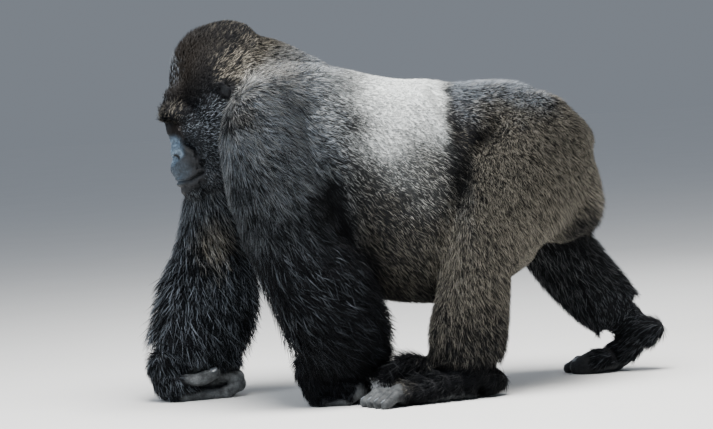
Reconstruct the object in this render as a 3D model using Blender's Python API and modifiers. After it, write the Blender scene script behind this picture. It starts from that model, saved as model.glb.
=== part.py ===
"""A silverback gorilla walking on its knuckles, as a still life-size model.

The frame: +X runs from the nose to the rump, +Y to the animal's right, +Z up, in metres, with the
origin on the floor under the middle of the animal.

The body is modelled the way a sculptor builds it up. Balls, rods and lofted tubes of clay stand for
the muscles, the fat and the coat over them. A voxel remesh fuses the clay into one closed surface,
smoothing softens the joins, and a weighted decimation keeps small faces where the form is fine: on
the face, the hands and the feet. Thin cuts then part that one surface where a person would name the
parts, so that every two neighbours meet on the same face with a hair's gap between them.
"""

import math

import bmesh
import bpy
import numpy as np
from mathutils import Matrix, Vector

# ---------------------------------------------------------------- driving sizes, in metres
CUTTER_STEPS = 2
LIMB_MARGIN = 0.022  # how far round each limb the cuts run that free it
VOXEL = 0.0055  # grain of the clay when it is fused
GAP = 0.0003  # what every cut takes away between two neighbours
FACE_COUNT = 3600  # faces of the whole body before it is parted
DETAIL_WEIGHT, DETAIL_FACTOR = 0.3, 1.0  # how much more the fine spots keep as it is thinned out
FLOOR = 0.010  # height of the floor in the frame of the tables below
FLAT_DEPTH = 0.004  # how much of each knuckle and sole the floor flattens

# Trunk, station by station from the breast to the rump: x, back line, belly line, half width.
TRUNK_STATIONS = (
    (-0.430, 0.850, 0.580, 0.110),
    (-0.370, 0.915, 0.510, 0.180),
    (-0.290, 0.945, 0.440, 0.235),
    (-0.200, 0.934, 0.375, 0.272),
    (-0.100, 0.903, 0.310, 0.295),
    (0.000, 0.879, 0.266, 0.306),
    (0.080, 0.872, 0.248, 0.300),
    (0.160, 0.871, 0.256, 0.278),
    (0.240, 0.869, 0.300, 0.246),
    (0.320, 0.861, 0.365, 0.228),
    (0.400, 0.838, 0.415, 0.208),
    (0.470, 0.780, 0.450, 0.172),
    (0.525, 0.690, 0.480, 0.115),
)
TRUNK_SQUARENESS = 2.2  # 2 is an ellipse, more is boxier

# Neck: x, nape line, throat line, half width.
NECK_STATIONS = (
    (-0.480, 1.020, 0.720, 0.100),
    (-0.400, 1.040, 0.640, 0.128),
    (-0.330, 1.003, 0.560, 0.160),
    (-0.260, 0.960, 0.520, 0.190),
    (-0.180, 0.910, 0.500, 0.200),
)

# Head: its own frame starts midway between the ear holes. "fore" points out of the face along the
# natural level of the skull, which the gorilla carries pitched down as it walks.
EAR_HOLE = Vector((-0.428, 0.0, 0.871))
HEAD_PITCH = math.radians(36.5)

# Limbs, section by section down the bone: x, y (outwards), z, half width, half depth. The long
# hair is counted in, which is why a forearm is deepest behind. The left arm bears weight under
# the chest while the right one reaches ahead, and the left leg is brought under the belly while
# the right one pushes off behind.
ARMS = {
    "left": {
        "side": -1,
        "upper": (
            (-0.335, 0.150, 0.890, 0.040, 0.050),
            (-0.336, 0.200, 0.835, 0.078, 0.094),
            (-0.338, 0.224, 0.755, 0.100, 0.120),
            (-0.325, 0.244, 0.650, 0.102, 0.128),
            (-0.301, 0.264, 0.540, 0.096, 0.126),
            (-0.270, 0.278, 0.440, 0.092, 0.127),
        ),
        "lower": (
            (-0.236, 0.278, 0.370, 0.094, 0.138),
            (-0.198, 0.264, 0.300, 0.094, 0.148),
            (-0.176, 0.245, 0.235, 0.090, 0.150),
            (-0.174, 0.222, 0.175, 0.082, 0.142),
            (-0.190, 0.204, 0.130, 0.070, 0.112),
        ),
        "end": ((-0.216, 0.192, 0.090, 0.056, 0.072), (-0.226, 0.187, 0.055, 0.048, 0.048)),
        "wrist": Vector((-0.205, -0.186, 0.140)),
        "toe_in": math.radians(6),
        "fist": 0.095,
    },
    "right": {
        "side": 1,
        "upper": (
            (-0.365, 0.150, 0.890, 0.040, 0.050),
            (-0.374, 0.200, 0.835, 0.078, 0.096),
            (-0.406, 0.222, 0.755, 0.098, 0.120),
            (-0.442, 0.240, 0.650, 0.098, 0.120),
            (-0.482, 0.252, 0.540, 0.092, 0.118),
            (-0.505, 0.254, 0.440, 0.090, 0.120),
        ),
        "lower": (
            (-0.516, 0.244, 0.370, 0.092, 0.134),
            (-0.530, 0.226, 0.300, 0.092, 0.150),
            (-0.550, 0.204, 0.235, 0.088, 0.150),
            (-0.577, 0.180, 0.175, 0.080, 0.136),
            (-0.603, 0.163, 0.130, 0.068, 0.114),
        ),
        "end": ((-0.632, 0.158, 0.090, 0.058, 0.080), (-0.648, 0.156, 0.055, 0.050, 0.056)),
        "wrist": Vector((-0.625, 0.155, 0.140)),
        "toe_in": math.radians(14),
        "fist": 0.160,
    },
}
LEGS = {
    "left": {
        "side": -1,
        "upper": (
            (0.455, 0.080, 0.760, 0.060, 0.070),
            (0.420, 0.125, 0.700, 0.100, 0.130),
            (0.370, 0.158, 0.620, 0.114, 0.158),
            (0.305, 0.190, 0.530, 0.112, 0.152),
            (0.248, 0.215, 0.450, 0.102, 0.132),
        ),
        "lower": (
            (0.213, 0.230, 0.380, 0.092, 0.110),
            (0.204, 0.236, 0.310, 0.086, 0.102),
            (0.191, 0.237, 0.240, 0.084, 0.110),
            (0.179, 0.238, 0.170, 0.080, 0.114),
            (0.177, 0.240, 0.110, 0.068, 0.100),
        ),
        "end": ((0.185, 0.240, 0.065, 0.052, 0.072),),
        "ankle": Vector((0.200, -0.240, 0.105)),
        "toe_out": math.radians(18),
        "heel_lift": 0.0,
        "foot_length": 0.240,
        # The big toe stands clear of the floor: ahead of the ankle, outwards, height.
        "big_toe": (
            (0.100, -0.034, 0.068),
            (0.146, -0.056, 0.096),
            (0.190, -0.064, 0.102),
            (0.216, -0.062, 0.092),
        ),
    },
    "right": {
        "side": 1,
        "upper": (
            (0.455, 0.080, 0.760, 0.060, 0.070),
            (0.425, 0.125, 0.700, 0.100, 0.130),
            (0.408, 0.158, 0.620, 0.112, 0.150),
            (0.412, 0.180, 0.530, 0.108, 0.138),
            (0.432, 0.196, 0.440, 0.098, 0.122),
        ),
        "lower": (
            (0.466, 0.200, 0.360, 0.086, 0.108),
            (0.520, 0.198, 0.285, 0.080, 0.106),
            (0.576, 0.192, 0.220, 0.074, 0.100),
            (0.622, 0.186, 0.170, 0.064, 0.088),
        ),
        "end": ((0.656, 0.182, 0.130, 0.050, 0.064),),
        "ankle": Vector((0.668, 0.180, 0.128)),
        "toe_out": math.radians(26),
        "heel_lift": 0.078,
        "foot_length": 0.128,
        "big_toe": (
            (0.078, -0.034, 0.040),
            (0.106, -0.058, 0.034),
            (0.138, -0.064, 0.022),
            (0.158, -0.060, 0.019),
        ),
    },
}

FINGER_SPACING = 0.031
FINGER_RADII = (0.0185, 0.0200, 0.0200, 0.0180)  # index to little finger
TOE_SPACING = 0.026
TOE_RADII = (0.0190, 0.0190, 0.0180, 0.0165)  # second to fifth toe
EYE_RADIUS = 0.0135
EYE_PLACE = Vector((0.161, 0.036, 0.004))  # fore, out, up in the head's frame
EAR_PLACE = Vector((0.004, 0.121, 0.004))
EAR_RADII = (0.021, 0.011, 0.031)
EAR_FLARE = math.radians(24)  # how far the ear stands off the head, towards the back
SEAT_GAP = 0.0004  # room left round the eyes and the ears


# ---------------------------------------------------------------- clay: the ways to add a shape
def add_shape(clay, shape, place):
    """Copies a small shape into the clay at a place, then drops it."""
    mesh = bpy.data.meshes.new("lump")
    shape.to_mesh(mesh)
    shape.free()
    mesh.transform(place)
    clay.from_mesh(mesh)
    bpy.data.meshes.remove(mesh)


def ball(clay, centre, radii, turn=None, rings=14):
    """An ellipsoid. turn is a rotation matrix for its axes."""
    turn = turn.to_4x4() if turn is not None else Matrix.Identity(4)
    shape = bmesh.new()
    bmesh.ops.create_uvsphere(shape, u_segments=2 * rings, v_segments=rings, radius=1.0)
    add_shape(clay, shape, Matrix.Translation(centre) @ turn @ Matrix.Diagonal((*radii, 1.0)))


def rod(clay, start, end, start_radius, end_radius):
    """A tapered rod with round ends, for a finger or toe bone with its flesh."""
    start, end = Vector(start), Vector(end)
    along = end - start
    shape = bmesh.new()
    bmesh.ops.create_cone(
        shape,
        cap_ends=True,
        segments=16,
        radius1=start_radius,
        radius2=end_radius,
        depth=along.length,
    )
    turn = along.to_track_quat("Z", "Y").to_matrix().to_4x4()
    add_shape(clay, shape, Matrix.Translation((start + end) / 2) @ turn)
    ball(clay, start, (start_radius,) * 3)
    ball(clay, end, (end_radius,) * 3)


def chain(clay, points, radii):
    """Rods end to end, as in a bent finger."""
    for (start, end), (start_radius, end_radius) in zip(
        zip(points, points[1:]), zip(radii, radii[1:])
    ):
        rod(clay, start, end, start_radius, end_radius)


def smooth_rows(rows, steps):
    """Rows of numbers with a Catmull-Rom curve drawn through them."""
    rows = np.array(rows, float)
    ends = np.vstack([2 * rows[0] - rows[1], rows, 2 * rows[-1] - rows[-2]])
    out = []
    for before, start, end, after in zip(ends, ends[1:], ends[2:], ends[3:]):
        for t in np.arange(steps) / steps:
            out.append(
                0.5
                * (
                    2 * start
                    + (end - before) * t
                    + (2 * before - 5 * start + 4 * end - after) * t**2
                    + (3 * start - before - 3 * end + after) * t**3
                )
            )
    return np.array([*out, rows[-1]])


def tube(clay, stations, squareness=2.0, steps=5, sides=28):
    """A lofted tube through stations of (centre, half width across Y, half depth)."""
    rows = smooth_rows([(*centre, across, deep) for centre, across, deep in stations], steps)
    centres = rows[:, :3]
    tangents = np.gradient(centres, axis=0)
    rings = []
    for centre, tangent, (across, deep) in zip(centres, tangents, rows[:, 3:]):
        forward = Vector(tangent).normalized()
        out = (Vector((0, 1, 0)) - forward * forward.y).normalized()
        up = forward.cross(out)
        ring = []
        for angle in np.linspace(0, 2 * math.pi, sides, endpoint=False):
            c, s = math.cos(angle), math.sin(angle)
            c = math.copysign(abs(c) ** (2 / squareness), c) * across
            s = math.copysign(abs(s) ** (2 / squareness), s) * deep
            ring.append(clay.verts.new(Vector(centre) + out * c + up * s))
        rings.append(ring)
    for ring, following in zip(rings, rings[1:]):
        for i in range(sides):
            j = (i + 1) % sides
            clay.faces.new((ring[i], ring[j], following[j], following[i]))
    clay.faces.new(rings[0][::-1])
    clay.faces.new(rings[-1])


def level_tube(clay, stations, squareness):
    """A tube along X from rows of x, top line, bottom line and half width."""
    tube(
        clay,
        [((x, 0, (top + low) / 2), half, (top - low) / 2) for x, top, low, half in stations],
        squareness,
    )


def mix(start, end, share):
    return start.lerp(end, share)


# ---------------------------------------------------------------- the trunk and the neck
def trunk(clay):
    level_tube(clay, TRUNK_STATIONS, TRUNK_SQUARENESS)
    for side in (-1, 1):
        # Shoulder blade with the muscle over it, breast muscle and the broad back muscle.
        ball(clay, (-0.235, side * 0.120, 0.835), (0.165, 0.125, 0.105))
        ball(clay, (-0.370, side * 0.105, 0.610), (0.085, 0.120, 0.130))
        ball(clay, (-0.170, side * 0.190, 0.640), (0.150, 0.105, 0.200))
        # Buttock, with the long hair that hangs behind it.
        ball(clay, (0.425, side * 0.105, 0.640), (0.138, 0.112, 0.190))
        ball(clay, (0.452, side * 0.075, 0.560), (0.128, 0.110, 0.165))


def neck(clay):
    level_tube(clay, NECK_STATIONS, 2.1)
    for side in (-1, 1):
        # The sloping muscle from the back of the skull to the shoulder.
        ball(clay, (-0.300, side * 0.105, 0.850), (0.140, 0.100, 0.095))


# ---------------------------------------------------------------- the head
def in_head(fore, out, up):
    """A point of the head's own frame, in the frame of the whole model."""
    cos, sin = math.cos(HEAD_PITCH), math.sin(HEAD_PITCH)
    return EAR_HOLE + Vector((-fore * cos - up * sin, out, up * cos - fore * sin))


def head_ball(clay, centre, radii, lean=0.0):
    """An ellipsoid in the head's frame, with radii fore, out and up. lean tips its front up."""
    ball(clay, in_head(*centre), radii, Matrix.Rotation(lean - HEAD_PITCH, 3, "Y"))


def head(clay):
    # The high crest of an old male, with its pad of fat, narrows to a ridge on top.
    head_ball(clay, (-0.012, 0, 0.080), (0.148, 0.072, 0.110))
    head_ball(clay, (0.080, 0, 0.066), (0.105, 0.074, 0.068), lean=math.radians(-22))
    for side in (-1, 1):
        # Temple muscle, cheekbone, jaw muscle and the ruff of hair on the cheek.
        head_ball(clay, (-0.004, side * 0.046, 0.040), (0.122, 0.072, 0.098))
        head_ball(clay, (0.122, side * 0.060, -0.020), (0.054, 0.033, 0.042))
        head_ball(clay, (0.128, side * 0.062, 0.026), (0.036, 0.026, 0.036))
        head_ball(clay, (0.114, side * 0.044, 0.078), (0.054, 0.046, 0.034))
        head_ball(clay, (0.085, side * 0.070, -0.085), (0.090, 0.044, 0.090))
        head_ball(clay, (0.030, side * 0.080, -0.030), (0.085, 0.040, 0.080))
        # The brow is a bar over each eye, meeting above the nose.
        head_ball(clay, (0.166, side * 0.036, 0.053), (0.034, 0.052, 0.020))
        # Wing of the nose, spread wide over the nostril.
        head_ball(clay, (0.220, side * 0.023, -0.046), (0.022, 0.024, 0.024))
    head_ball(clay, (0.169, 0, 0.052), (0.032, 0.045, 0.020))
    head_ball(clay, (0.128, 0, -0.030), (0.072, 0.064, 0.072))
    head_ball(clay, (0.186, 0, 0.000), (0.030, 0.016, 0.052))
    # Upper and lower halves of the muzzle, chin and throat.
    head_ball(clay, (0.196, 0, -0.082), (0.076, 0.064, 0.046))
    head_ball(clay, (0.198, 0, -0.138), (0.084, 0.054, 0.042))
    head_ball(clay, (0.236, 0, -0.152), (0.050, 0.044, 0.038))
    head_ball(clay, (0.120, 0, -0.150), (0.125, 0.080, 0.072))


EAR_TURN = Matrix.Rotation(-HEAD_PITCH, 3, "Y")


def ear_leaf(side, more=0.0):
    """The plain leaf of one ear. more grows it by a hair, for the cutter of its seat."""
    leaf = bmesh.new()
    radii = [radius + more for radius in EAR_RADII]
    place = in_head(EAR_PLACE.x, side * EAR_PLACE.y, EAR_PLACE.z)
    ball(leaf, place, radii, EAR_TURN @ Matrix.Rotation(side * EAR_FLARE, 3, "Z"), rings=6)
    return solid_from(leaf, f"ear_{side_name(side)}")


def ear(side):
    """One small ear: a leaf with a hollow face, set against the side of the head."""
    made = ear_leaf(side)
    hollow = bmesh.new()
    place = in_head(EAR_PLACE.x, side * EAR_PLACE.y, EAR_PLACE.z) + Vector((-0.004, side * 0.013, 0.001))
    turn = EAR_TURN @ Matrix.Rotation(side * EAR_FLARE, 3, "Z")
    ball(hollow, place, (0.013, 0.010, 0.021), turn, rings=6)
    cut(made, solid_from(hollow, "ear hollow"), "DIFFERENCE")
    return made


def eyeball(side, more=0.0):
    """One eyeball. more grows it by a hair, for the cutter of its seat."""
    white = bmesh.new()
    place = in_head(EYE_PLACE.x, side * EYE_PLACE.y, EYE_PLACE.z)
    ball(white, place, (EYE_RADIUS + more,) * 3, rings=7)
    return solid_from(white, f"eye_{side_name(side)}")


def side_name(side):
    return "left" if side < 0 else "right"


# ---------------------------------------------------------------- limbs
def limb_stations(rows, side):
    """Rows of a limb table as stations of a tube."""
    return [((x, side * out, z), across, deep) for x, out, z, across, deep in rows]


def limb(clay, limb_sizes):
    side = limb_sizes["side"]
    rows = limb_sizes["upper"] + limb_sizes["lower"] + limb_sizes["end"]
    tube(clay, limb_stations(rows, side))
    # A ball rounds the joint off at the top, where it sinks into the body.
    x, out, z, across, deep = limb_sizes["upper"][1]
    ball(clay, (x, side * out, z), (deep, across, across * 0.8))


def hand(clay, arm):
    """A fist set down on its knuckles. The fingers fold back under the palm."""
    wrist, side, fist = arm["wrist"], arm["side"], arm["fist"]
    turn = Matrix.Rotation(side * arm["toe_in"], 3, "Z")

    def at(fore, out, height):
        """A point ahead of the wrist, outwards from it and above the floor."""
        place = wrist + turn @ Vector((-fore, side * out, 0))
        return Vector((place.x, place.y, FLOOR + height))

    # The back of the hand under its hair, from the wrist down to the knuckles.
    ball(clay, at(0.030, 0, 0.095), (0.060, 0.064, 0.062))
    ball(clay, at(0.036, 0, 0.058), (0.040, 0.062, 0.048))
    for number, radius in enumerate(FINGER_RADII):
        out = (number - 1.5) * FINGER_SPACING
        reach = 0.006 * (1.5 - abs(number - 1.5))
        points = (
            at(0.036 + reach, out, 0.075),
            at(0.028 + reach, out, radius - FLAT_DEPTH),
            at(0.042 - fist - reach, out, radius - FLAT_DEPTH),
            at(0.006 - fist - reach, out, 0.040),
            at(0.004 - fist - reach, out, 0.066),
            at(0.052 - fist - reach, out, 0.088),
        )
        thin = (1.05, 1.05, 1.0, 0.98, 0.95, 0.85)
        chain(clay, points, [radius * share for share in thin])
    # The palm over the folded fingers, and the thumb along the inner side of the fist.
    ball(clay, at(-0.020, 0.004, 0.066), (0.070, 0.052, 0.046))
    inner = -1.5 * FINGER_SPACING - 0.028
    thumb = (at(0.012, inner + 0.014, 0.088), at(-0.018, inner, 0.074), at(-0.068, inner, 0.086))
    chain(clay, thumb, (0.026, 0.020, 0.016))


def foot(clay, leg):
    """A broad flat foot with four toes ahead and a big toe that stands off like a thumb."""
    ankle, side, lift, length = leg["ankle"], leg["side"], leg["heel_lift"], leg["foot_length"]
    turn = Matrix.Rotation(-side * leg["toe_out"], 3, "Z")

    def at(fore, out, height):
        """A point ahead of the ankle, out from it and above the sole, which slopes as the heel lifts."""
        slope = lift * max(0.0, 1 - (fore + 0.05) / length)
        place = ankle + turn @ Vector((-fore, side * out, 0))
        return Vector((place.x, place.y, FLOOR + height + slope))

    tube(
        clay,
        [
            (at(-0.058, 0.000, 0.040), 0.032, 0.032),
            (at(-0.036, 0.000, 0.045), 0.046, 0.048),
            (at(0.14 * length, 0.003, 0.049), 0.052, 0.053),
            (at(0.46 * length, 0.006, 0.041), 0.056, 0.044),
            (at(0.76 * length, 0.008, 0.031), 0.058, 0.034),
            (at(length, 0.008, 0.024), 0.052, 0.026),
        ],
        squareness=2.4,
    )
    for number, radius in enumerate(TOE_RADII):
        out = 0.010 + (number - 1.5) * TOE_SPACING
        reach = 0.012 * (1.5 - number) / 1.5
        points = (
            at(length - 0.020, out, 0.028),
            at(length + 0.028 + reach, out * 1.08, 0.030),
            at(length + 0.056 + reach, out * 1.12, radius - FLAT_DEPTH),
        )
        chain(clay, points, (radius * 1.1, radius, radius * 0.95))
    chain(clay, [at(*point) for point in leg["big_toe"]], (0.036, 0.035, 0.031, 0.025))


# ---------------------------------------------------------------- from clay to solids
def solid_from(clay, name):
    """Makes an object of the clay, with its faces pointing out."""
    bmesh.ops.recalc_face_normals(clay, faces=clay.faces)
    mesh = bpy.data.meshes.new(name)
    clay.to_mesh(mesh)
    clay.free()
    made = bpy.data.objects.new(name, mesh)
    bpy.context.scene.collection.objects.link(made)
    return made


def bake_modifiers(made):
    """Replaces the object's mesh by the one that its modifiers make."""
    graph = bpy.context.evaluated_depsgraph_get()
    graph.update()
    mesh = bpy.data.meshes.new_from_object(made.evaluated_get(graph))
    made.modifiers.clear()
    made.data = mesh


def cut(made, cutter, operation, keep_cutter=False):
    modifier = made.modifiers.new("cut", "BOOLEAN")
    modifier.operation = operation
    modifier.object = cutter
    bake_modifiers(made)
    if not keep_cutter:
        bpy.data.objects.remove(cutter)


def copy_of(made, name):
    twin = made.copy()
    twin.data = made.data.copy()
    twin.name = name
    bpy.context.scene.collection.objects.link(twin)
    return twin


def fine_spots():
    """Where the form is fine: the centre and reach of the face, each hand and each foot."""
    spots = [(in_head(0.16, 0, -0.04), 0.19)]
    for limb_sizes in (*ARMS.values(), *LEGS.values()):
        end = limb_sizes.get("wrist") or limb_sizes["ankle"] - Vector((0.11, 0, 0))
        reach = 0.14 if "wrist" in limb_sizes else 0.22
        spots.append((Vector((end.x, end.y, 0.03)), reach))
    return spots


def weigh(made, name, inside, outside):
    """A vertex group that is `inside` at the fine spots and fades to `outside` away from them."""
    points = np.empty(len(made.data.vertices) * 3)
    made.data.vertices.foreach_get("co", points)
    points = points.reshape(-1, 3)
    fade = 0.05
    near = np.zeros(len(points))
    for spot, reach in fine_spots():
        away = np.linalg.norm(points - np.array(spot), axis=1)
        near = np.maximum(near, np.clip((reach - away) / fade, 0, 1))
    weights = np.round(outside + (inside - outside) * near, 1)
    group = made.vertex_groups.new(name=name)
    for weight in np.unique(weights):
        group.add(np.flatnonzero(weights == weight).tolist(), float(weight), "REPLACE")


def fuse(clay):
    """One closed skin round all the clay, softened, and with faces where they are needed."""
    body = solid_from(clay, "body")
    remesh = body.modifiers.new("fuse", "REMESH")
    remesh.mode = "VOXEL"
    remesh.voxel_size = VOXEL
    bake_modifiers(body)
    weigh(body, "soft", 0.1, 1.0)
    everywhere = body.modifiers.new("soften all", "SMOOTH")
    everywhere.factor = 0.5
    everywhere.iterations = 6
    muscles = body.modifiers.new("soften muscles", "SMOOTH")
    muscles.factor = 0.6
    muscles.iterations = 22
    muscles.vertex_group = "soft"
    bake_modifiers(body)
    body.vertex_groups.clear()
    weigh(body, "detail", DETAIL_WEIGHT, 1.0)
    thin = body.modifiers.new("thin out", "DECIMATE")
    thin.ratio = FACE_COUNT / (2 * len(body.data.polygons))
    thin.vertex_group = "detail"
    thin.vertex_group_factor = DETAIL_FACTOR
    bake_modifiers(body)
    body.vertex_groups.clear()
    return body


def block_beyond(point, normal, gap):
    """A block four metres wide whose near face lies past a plane by this gap."""
    shape = bmesh.new()
    bmesh.ops.create_cube(shape, size=4.0)
    block = solid_from(shape, "block cutter")
    turn = normal.to_track_quat("Z", "Y").to_matrix().to_4x4()
    block.data.transform(Matrix.Translation(point + normal * (2.0 + gap)) @ turn)
    return block


def halve(made, point, normal, name_beyond):
    """Cuts an object by a plane, keeps what is behind it and returns the part beyond it."""
    point, normal = Vector(point), Vector(normal).normalized()
    beyond = copy_of(made, name_beyond)
    cut(beyond, block_beyond(point, normal, GAP / 2), "INTERSECT")
    cut(made, block_beyond(point, normal, -GAP / 2), "DIFFERENCE")
    return beyond


def islands(made):
    """The separate closed bodies of a mesh, as objects, largest first."""
    shape = bmesh.new()
    shape.from_mesh(made.data)
    left = set(shape.verts)
    found = []
    while left:
        group, edge_of_group = set(), [left.pop()]
        while edge_of_group:
            vertex = edge_of_group.pop()
            group.add(vertex)
            for edge in vertex.link_edges:
                other = edge.other_vert(vertex)
                if other in left:
                    left.remove(other)
                    edge_of_group.append(other)
        found.append({vertex.index for vertex in group})
    pieces = []
    for keep in sorted(found, key=len, reverse=True):
        piece = shape.copy()
        piece.verts.ensure_lookup_table()
        gone = [vertex for vertex in piece.verts if vertex.index not in keep]
        bmesh.ops.delete(piece, geom=gone, context="VERTS")
        pieces.append(solid_from(piece, "island"))
    shape.free()
    bpy.data.objects.remove(made)
    return pieces


def keep_first(pieces, count):
    """The first few pieces. The crumbs that a cut leaves after them are dropped."""
    for crumb in pieces[count:]:
        bpy.data.objects.remove(crumb)
    return pieces[:count]


def free_limb(body, stations, grown_stations, name):
    """Cuts the part of the body inside a tube free, and returns it."""
    limb_part = copy_of(body, name)
    for made, rows, operation in (
        (limb_part, stations, "INTERSECT"),
        (body, grown_stations, "DIFFERENCE"),
    ):
        walls = bmesh.new()
        tube(walls, rows, steps=CUTTER_STEPS, sides=8)
        bmesh.ops.triangulate(walls, faces=walls.faces)
        cut(made, solid_from(walls, "limb cutter"), operation)
    (whole,) = keep_first(islands(limb_part), 1)
    whole.name = name
    return whole


# ---------------------------------------------------------------- colours
def material(name, colour, roughness):
    made = bpy.data.materials.new(name)
    made.use_nodes = True
    shader = made.node_tree.nodes["Principled BSDF"]
    shader.inputs["Base Color"].default_value = (*colour, 1.0)
    shader.inputs["Roughness"].default_value = roughness
    shader.inputs["Metallic"].default_value = 0.0
    return made


def coat_colours():
    return {
        "black": material("black coat", (0.012, 0.013, 0.017), 0.75),
        "brown": material("brown black coat", (0.030, 0.026, 0.024), 0.80),
        "silver": material("silver coat", (0.230, 0.225, 0.210), 0.80),
        "grizzled": material("grizzled coat", (0.075, 0.068, 0.058), 0.80),
        "skin": material("grey black skin", (0.035, 0.037, 0.042), 0.50),
        "eye": material("brown eye", (0.040, 0.018, 0.008), 0.12),
    }


PART_COLOURS = {
    "head": "brown",
    "neck": "grizzled",
    "chest": "grizzled",
    "belly": "silver",
    "rump": "grizzled",
    "upper_arm": "black",
    "forearm": "black",
    "thigh": "grizzled",
    "shin": "grizzled",
    "hand": "skin",
    "foot": "skin",
    "ear": "skin",
    "eye": "eye",
}


# ---------------------------------------------------------------- the whole animal
def model_body():
    clay = bmesh.new()
    trunk(clay)
    neck(clay)
    head(clay)
    for arm in ARMS.values():
        limb(clay, arm)
        hand(clay, arm)
    for leg in LEGS.values():
        limb(clay, leg)
        foot(clay, leg)
    body = fuse(clay)
    # The floor presses small flats on the knuckles and the soles.
    below = halve(body, (0, 0, FLOOR), (0, 0, -1), "below floor")
    bpy.data.objects.remove(below)
    return body


def cutter_stations(rows, side, more):
    """A tube round a limb segment, a little off it and further off on the side away from the body.

    more pushes its walls and its ends out by a hair, for the cutter that leaves the gap.
    """
    stations = [
        ((x, side * (out + LIMB_MARGIN), z), across + 2 * LIMB_MARGIN + more, deep + LIMB_MARGIN + more)
        for x, out, z, across, deep in rows
    ]
    for end, neighbour in ((0, 1), (-1, -2)):
        centre, across, deep = stations[end]
        outwards = (Vector(centre) - Vector(stations[neighbour][0])).normalized()
        stations[end] = (tuple(Vector(centre) + outwards * more), across, deep)
    return stations


def straight_on(rows):
    """The second section of a limb again, moved straight on past the top by its own half width."""
    second, third = (Vector(row[:3]) for row in rows[1:3])
    across, deep = rows[1][3:]
    return (*(second + (second - third).normalized() * across), across, deep)


def part_limbs(body):
    """Frees each upper arm, forearm and hand, and each thigh, shin and foot. Returns the rest first."""
    free = []
    arm_names, leg_names = ("upper_arm", "forearm", "hand"), ("thigh", "shin", "foot")
    for names, limbs in ((arm_names, ARMS), (leg_names, LEGS)):
        for side_of_limb, sizes in limbs.items():
            # The upper cutter keeps its width past the top of the limb, to leave the body cleanly.
            upper = (straight_on(sizes["upper"]), *sizes["upper"][1:])
            lower = (*sizes["upper"][-2:], *sizes["lower"])
            for kind, rows in zip(names, (upper, lower)):
                inner, outer = (cutter_stations(rows, sizes["side"], more) for more in (0.0, GAP))
                free.append(free_limb(body, inner, outer, f"{kind}_{side_of_limb}"))
            body, end = keep_first(islands(body), 2)
            end.name = f"{names[2]}_{side_of_limb}"
            free.append(end)
    return body, free


def part_trunk(core):
    """Parts what is left into head, neck, chest, belly and rump, and sets ears and eyes."""
    core.name = "chest"
    skull = halve(core, in_head(-0.060, 0, 0), (-1, 0, 0.25), "head")
    nape = halve(core, (-0.300, 0, 0.80), (-1, 0, 0.45), "neck")
    paunch = halve(core, (-0.060, 0, 0.60), (1, 0, 0), "belly")
    behind = halve(paunch, (0.250, 0, 0.60), (1, 0, 0.15), "rump")
    set_in = []
    for side in (-1, 1):
        set_in += [eyeball(side), ear(side)]
    return [skull, nape, core, paunch, behind, *set_in]


def seat_eyes_and_ears(body):
    """Hollows the face under the brow, and leaves room for each eyeball and ear."""
    for side in (-1, 1):
        hollow = bmesh.new()
        head_ball(hollow, (0.184, side * 0.038, 0.003), (0.022, 0.021, 0.016))
        cut(body, solid_from(hollow, "socket cutter"), "DIFFERENCE")
        cut(body, eyeball(side, SEAT_GAP), "DIFFERENCE")
        cut(body, ear_leaf(side, SEAT_GAP), "DIFFERENCE")


def centre_on_floor(parts):
    """Moves the whole so that the origin is under the middle of its box."""
    points = np.array([v.co for part in parts for v in part.data.vertices])
    low, high = points.min(axis=0), points.max(axis=0)
    shift = Matrix.Translation(Vector((-(low[0] + high[0]) / 2, -(low[1] + high[1]) / 2, -low[2])))
    for part in parts:
        part.data.transform(shift)


def build():
    for old in list(bpy.data.objects):
        bpy.data.objects.remove(old)
    body = model_body()
    seat_eyes_and_ears(body)
    core, limbs = part_limbs(body)
    parts = [*limbs, *part_trunk(core)]
    centre_on_floor(parts)
    home = bpy.data.collections.new("gorilla")
    bpy.context.scene.collection.children.link(home)
    colours = coat_colours()
    for part in parts:
        kind = part.name.removesuffix("_left").removesuffix("_right")
        part.data.materials.clear()
        part.data.materials.append(colours[PART_COLOURS[kind]])
        home.objects.link(part)
        bpy.context.scene.collection.objects.unlink(part)


build()
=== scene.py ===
# %% [markdown]
# # A silverback gorilla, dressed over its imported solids
# The solids give the outline out to the tips of the coat. This lesson builds what an eye sees: one
# skin that lies inside them by the depth of the coat, eyes, nails, and a coat of small solid tufts
# that are combed over the skin. The animal walks towards -X, its left side faces -Y, and Z is up.

import math

import bmesh
import bpy
import numpy as np
from mathutils import Matrix, Vector
from mathutils.bvhtree import BVHTree


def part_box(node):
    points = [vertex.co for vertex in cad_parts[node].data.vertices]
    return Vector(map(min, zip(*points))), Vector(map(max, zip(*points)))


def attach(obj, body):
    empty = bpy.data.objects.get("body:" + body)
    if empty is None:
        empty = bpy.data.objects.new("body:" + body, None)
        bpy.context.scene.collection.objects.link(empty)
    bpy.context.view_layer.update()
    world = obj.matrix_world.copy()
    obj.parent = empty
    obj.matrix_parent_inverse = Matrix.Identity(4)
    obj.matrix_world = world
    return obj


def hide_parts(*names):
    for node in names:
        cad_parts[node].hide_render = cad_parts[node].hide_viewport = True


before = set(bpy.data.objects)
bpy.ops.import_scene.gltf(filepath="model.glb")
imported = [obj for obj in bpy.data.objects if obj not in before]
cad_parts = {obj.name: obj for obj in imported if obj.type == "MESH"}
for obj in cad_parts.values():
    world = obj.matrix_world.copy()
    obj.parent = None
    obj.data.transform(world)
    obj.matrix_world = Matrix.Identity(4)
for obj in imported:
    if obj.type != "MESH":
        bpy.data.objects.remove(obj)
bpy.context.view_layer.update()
print("solids:", sorted(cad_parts))

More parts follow.
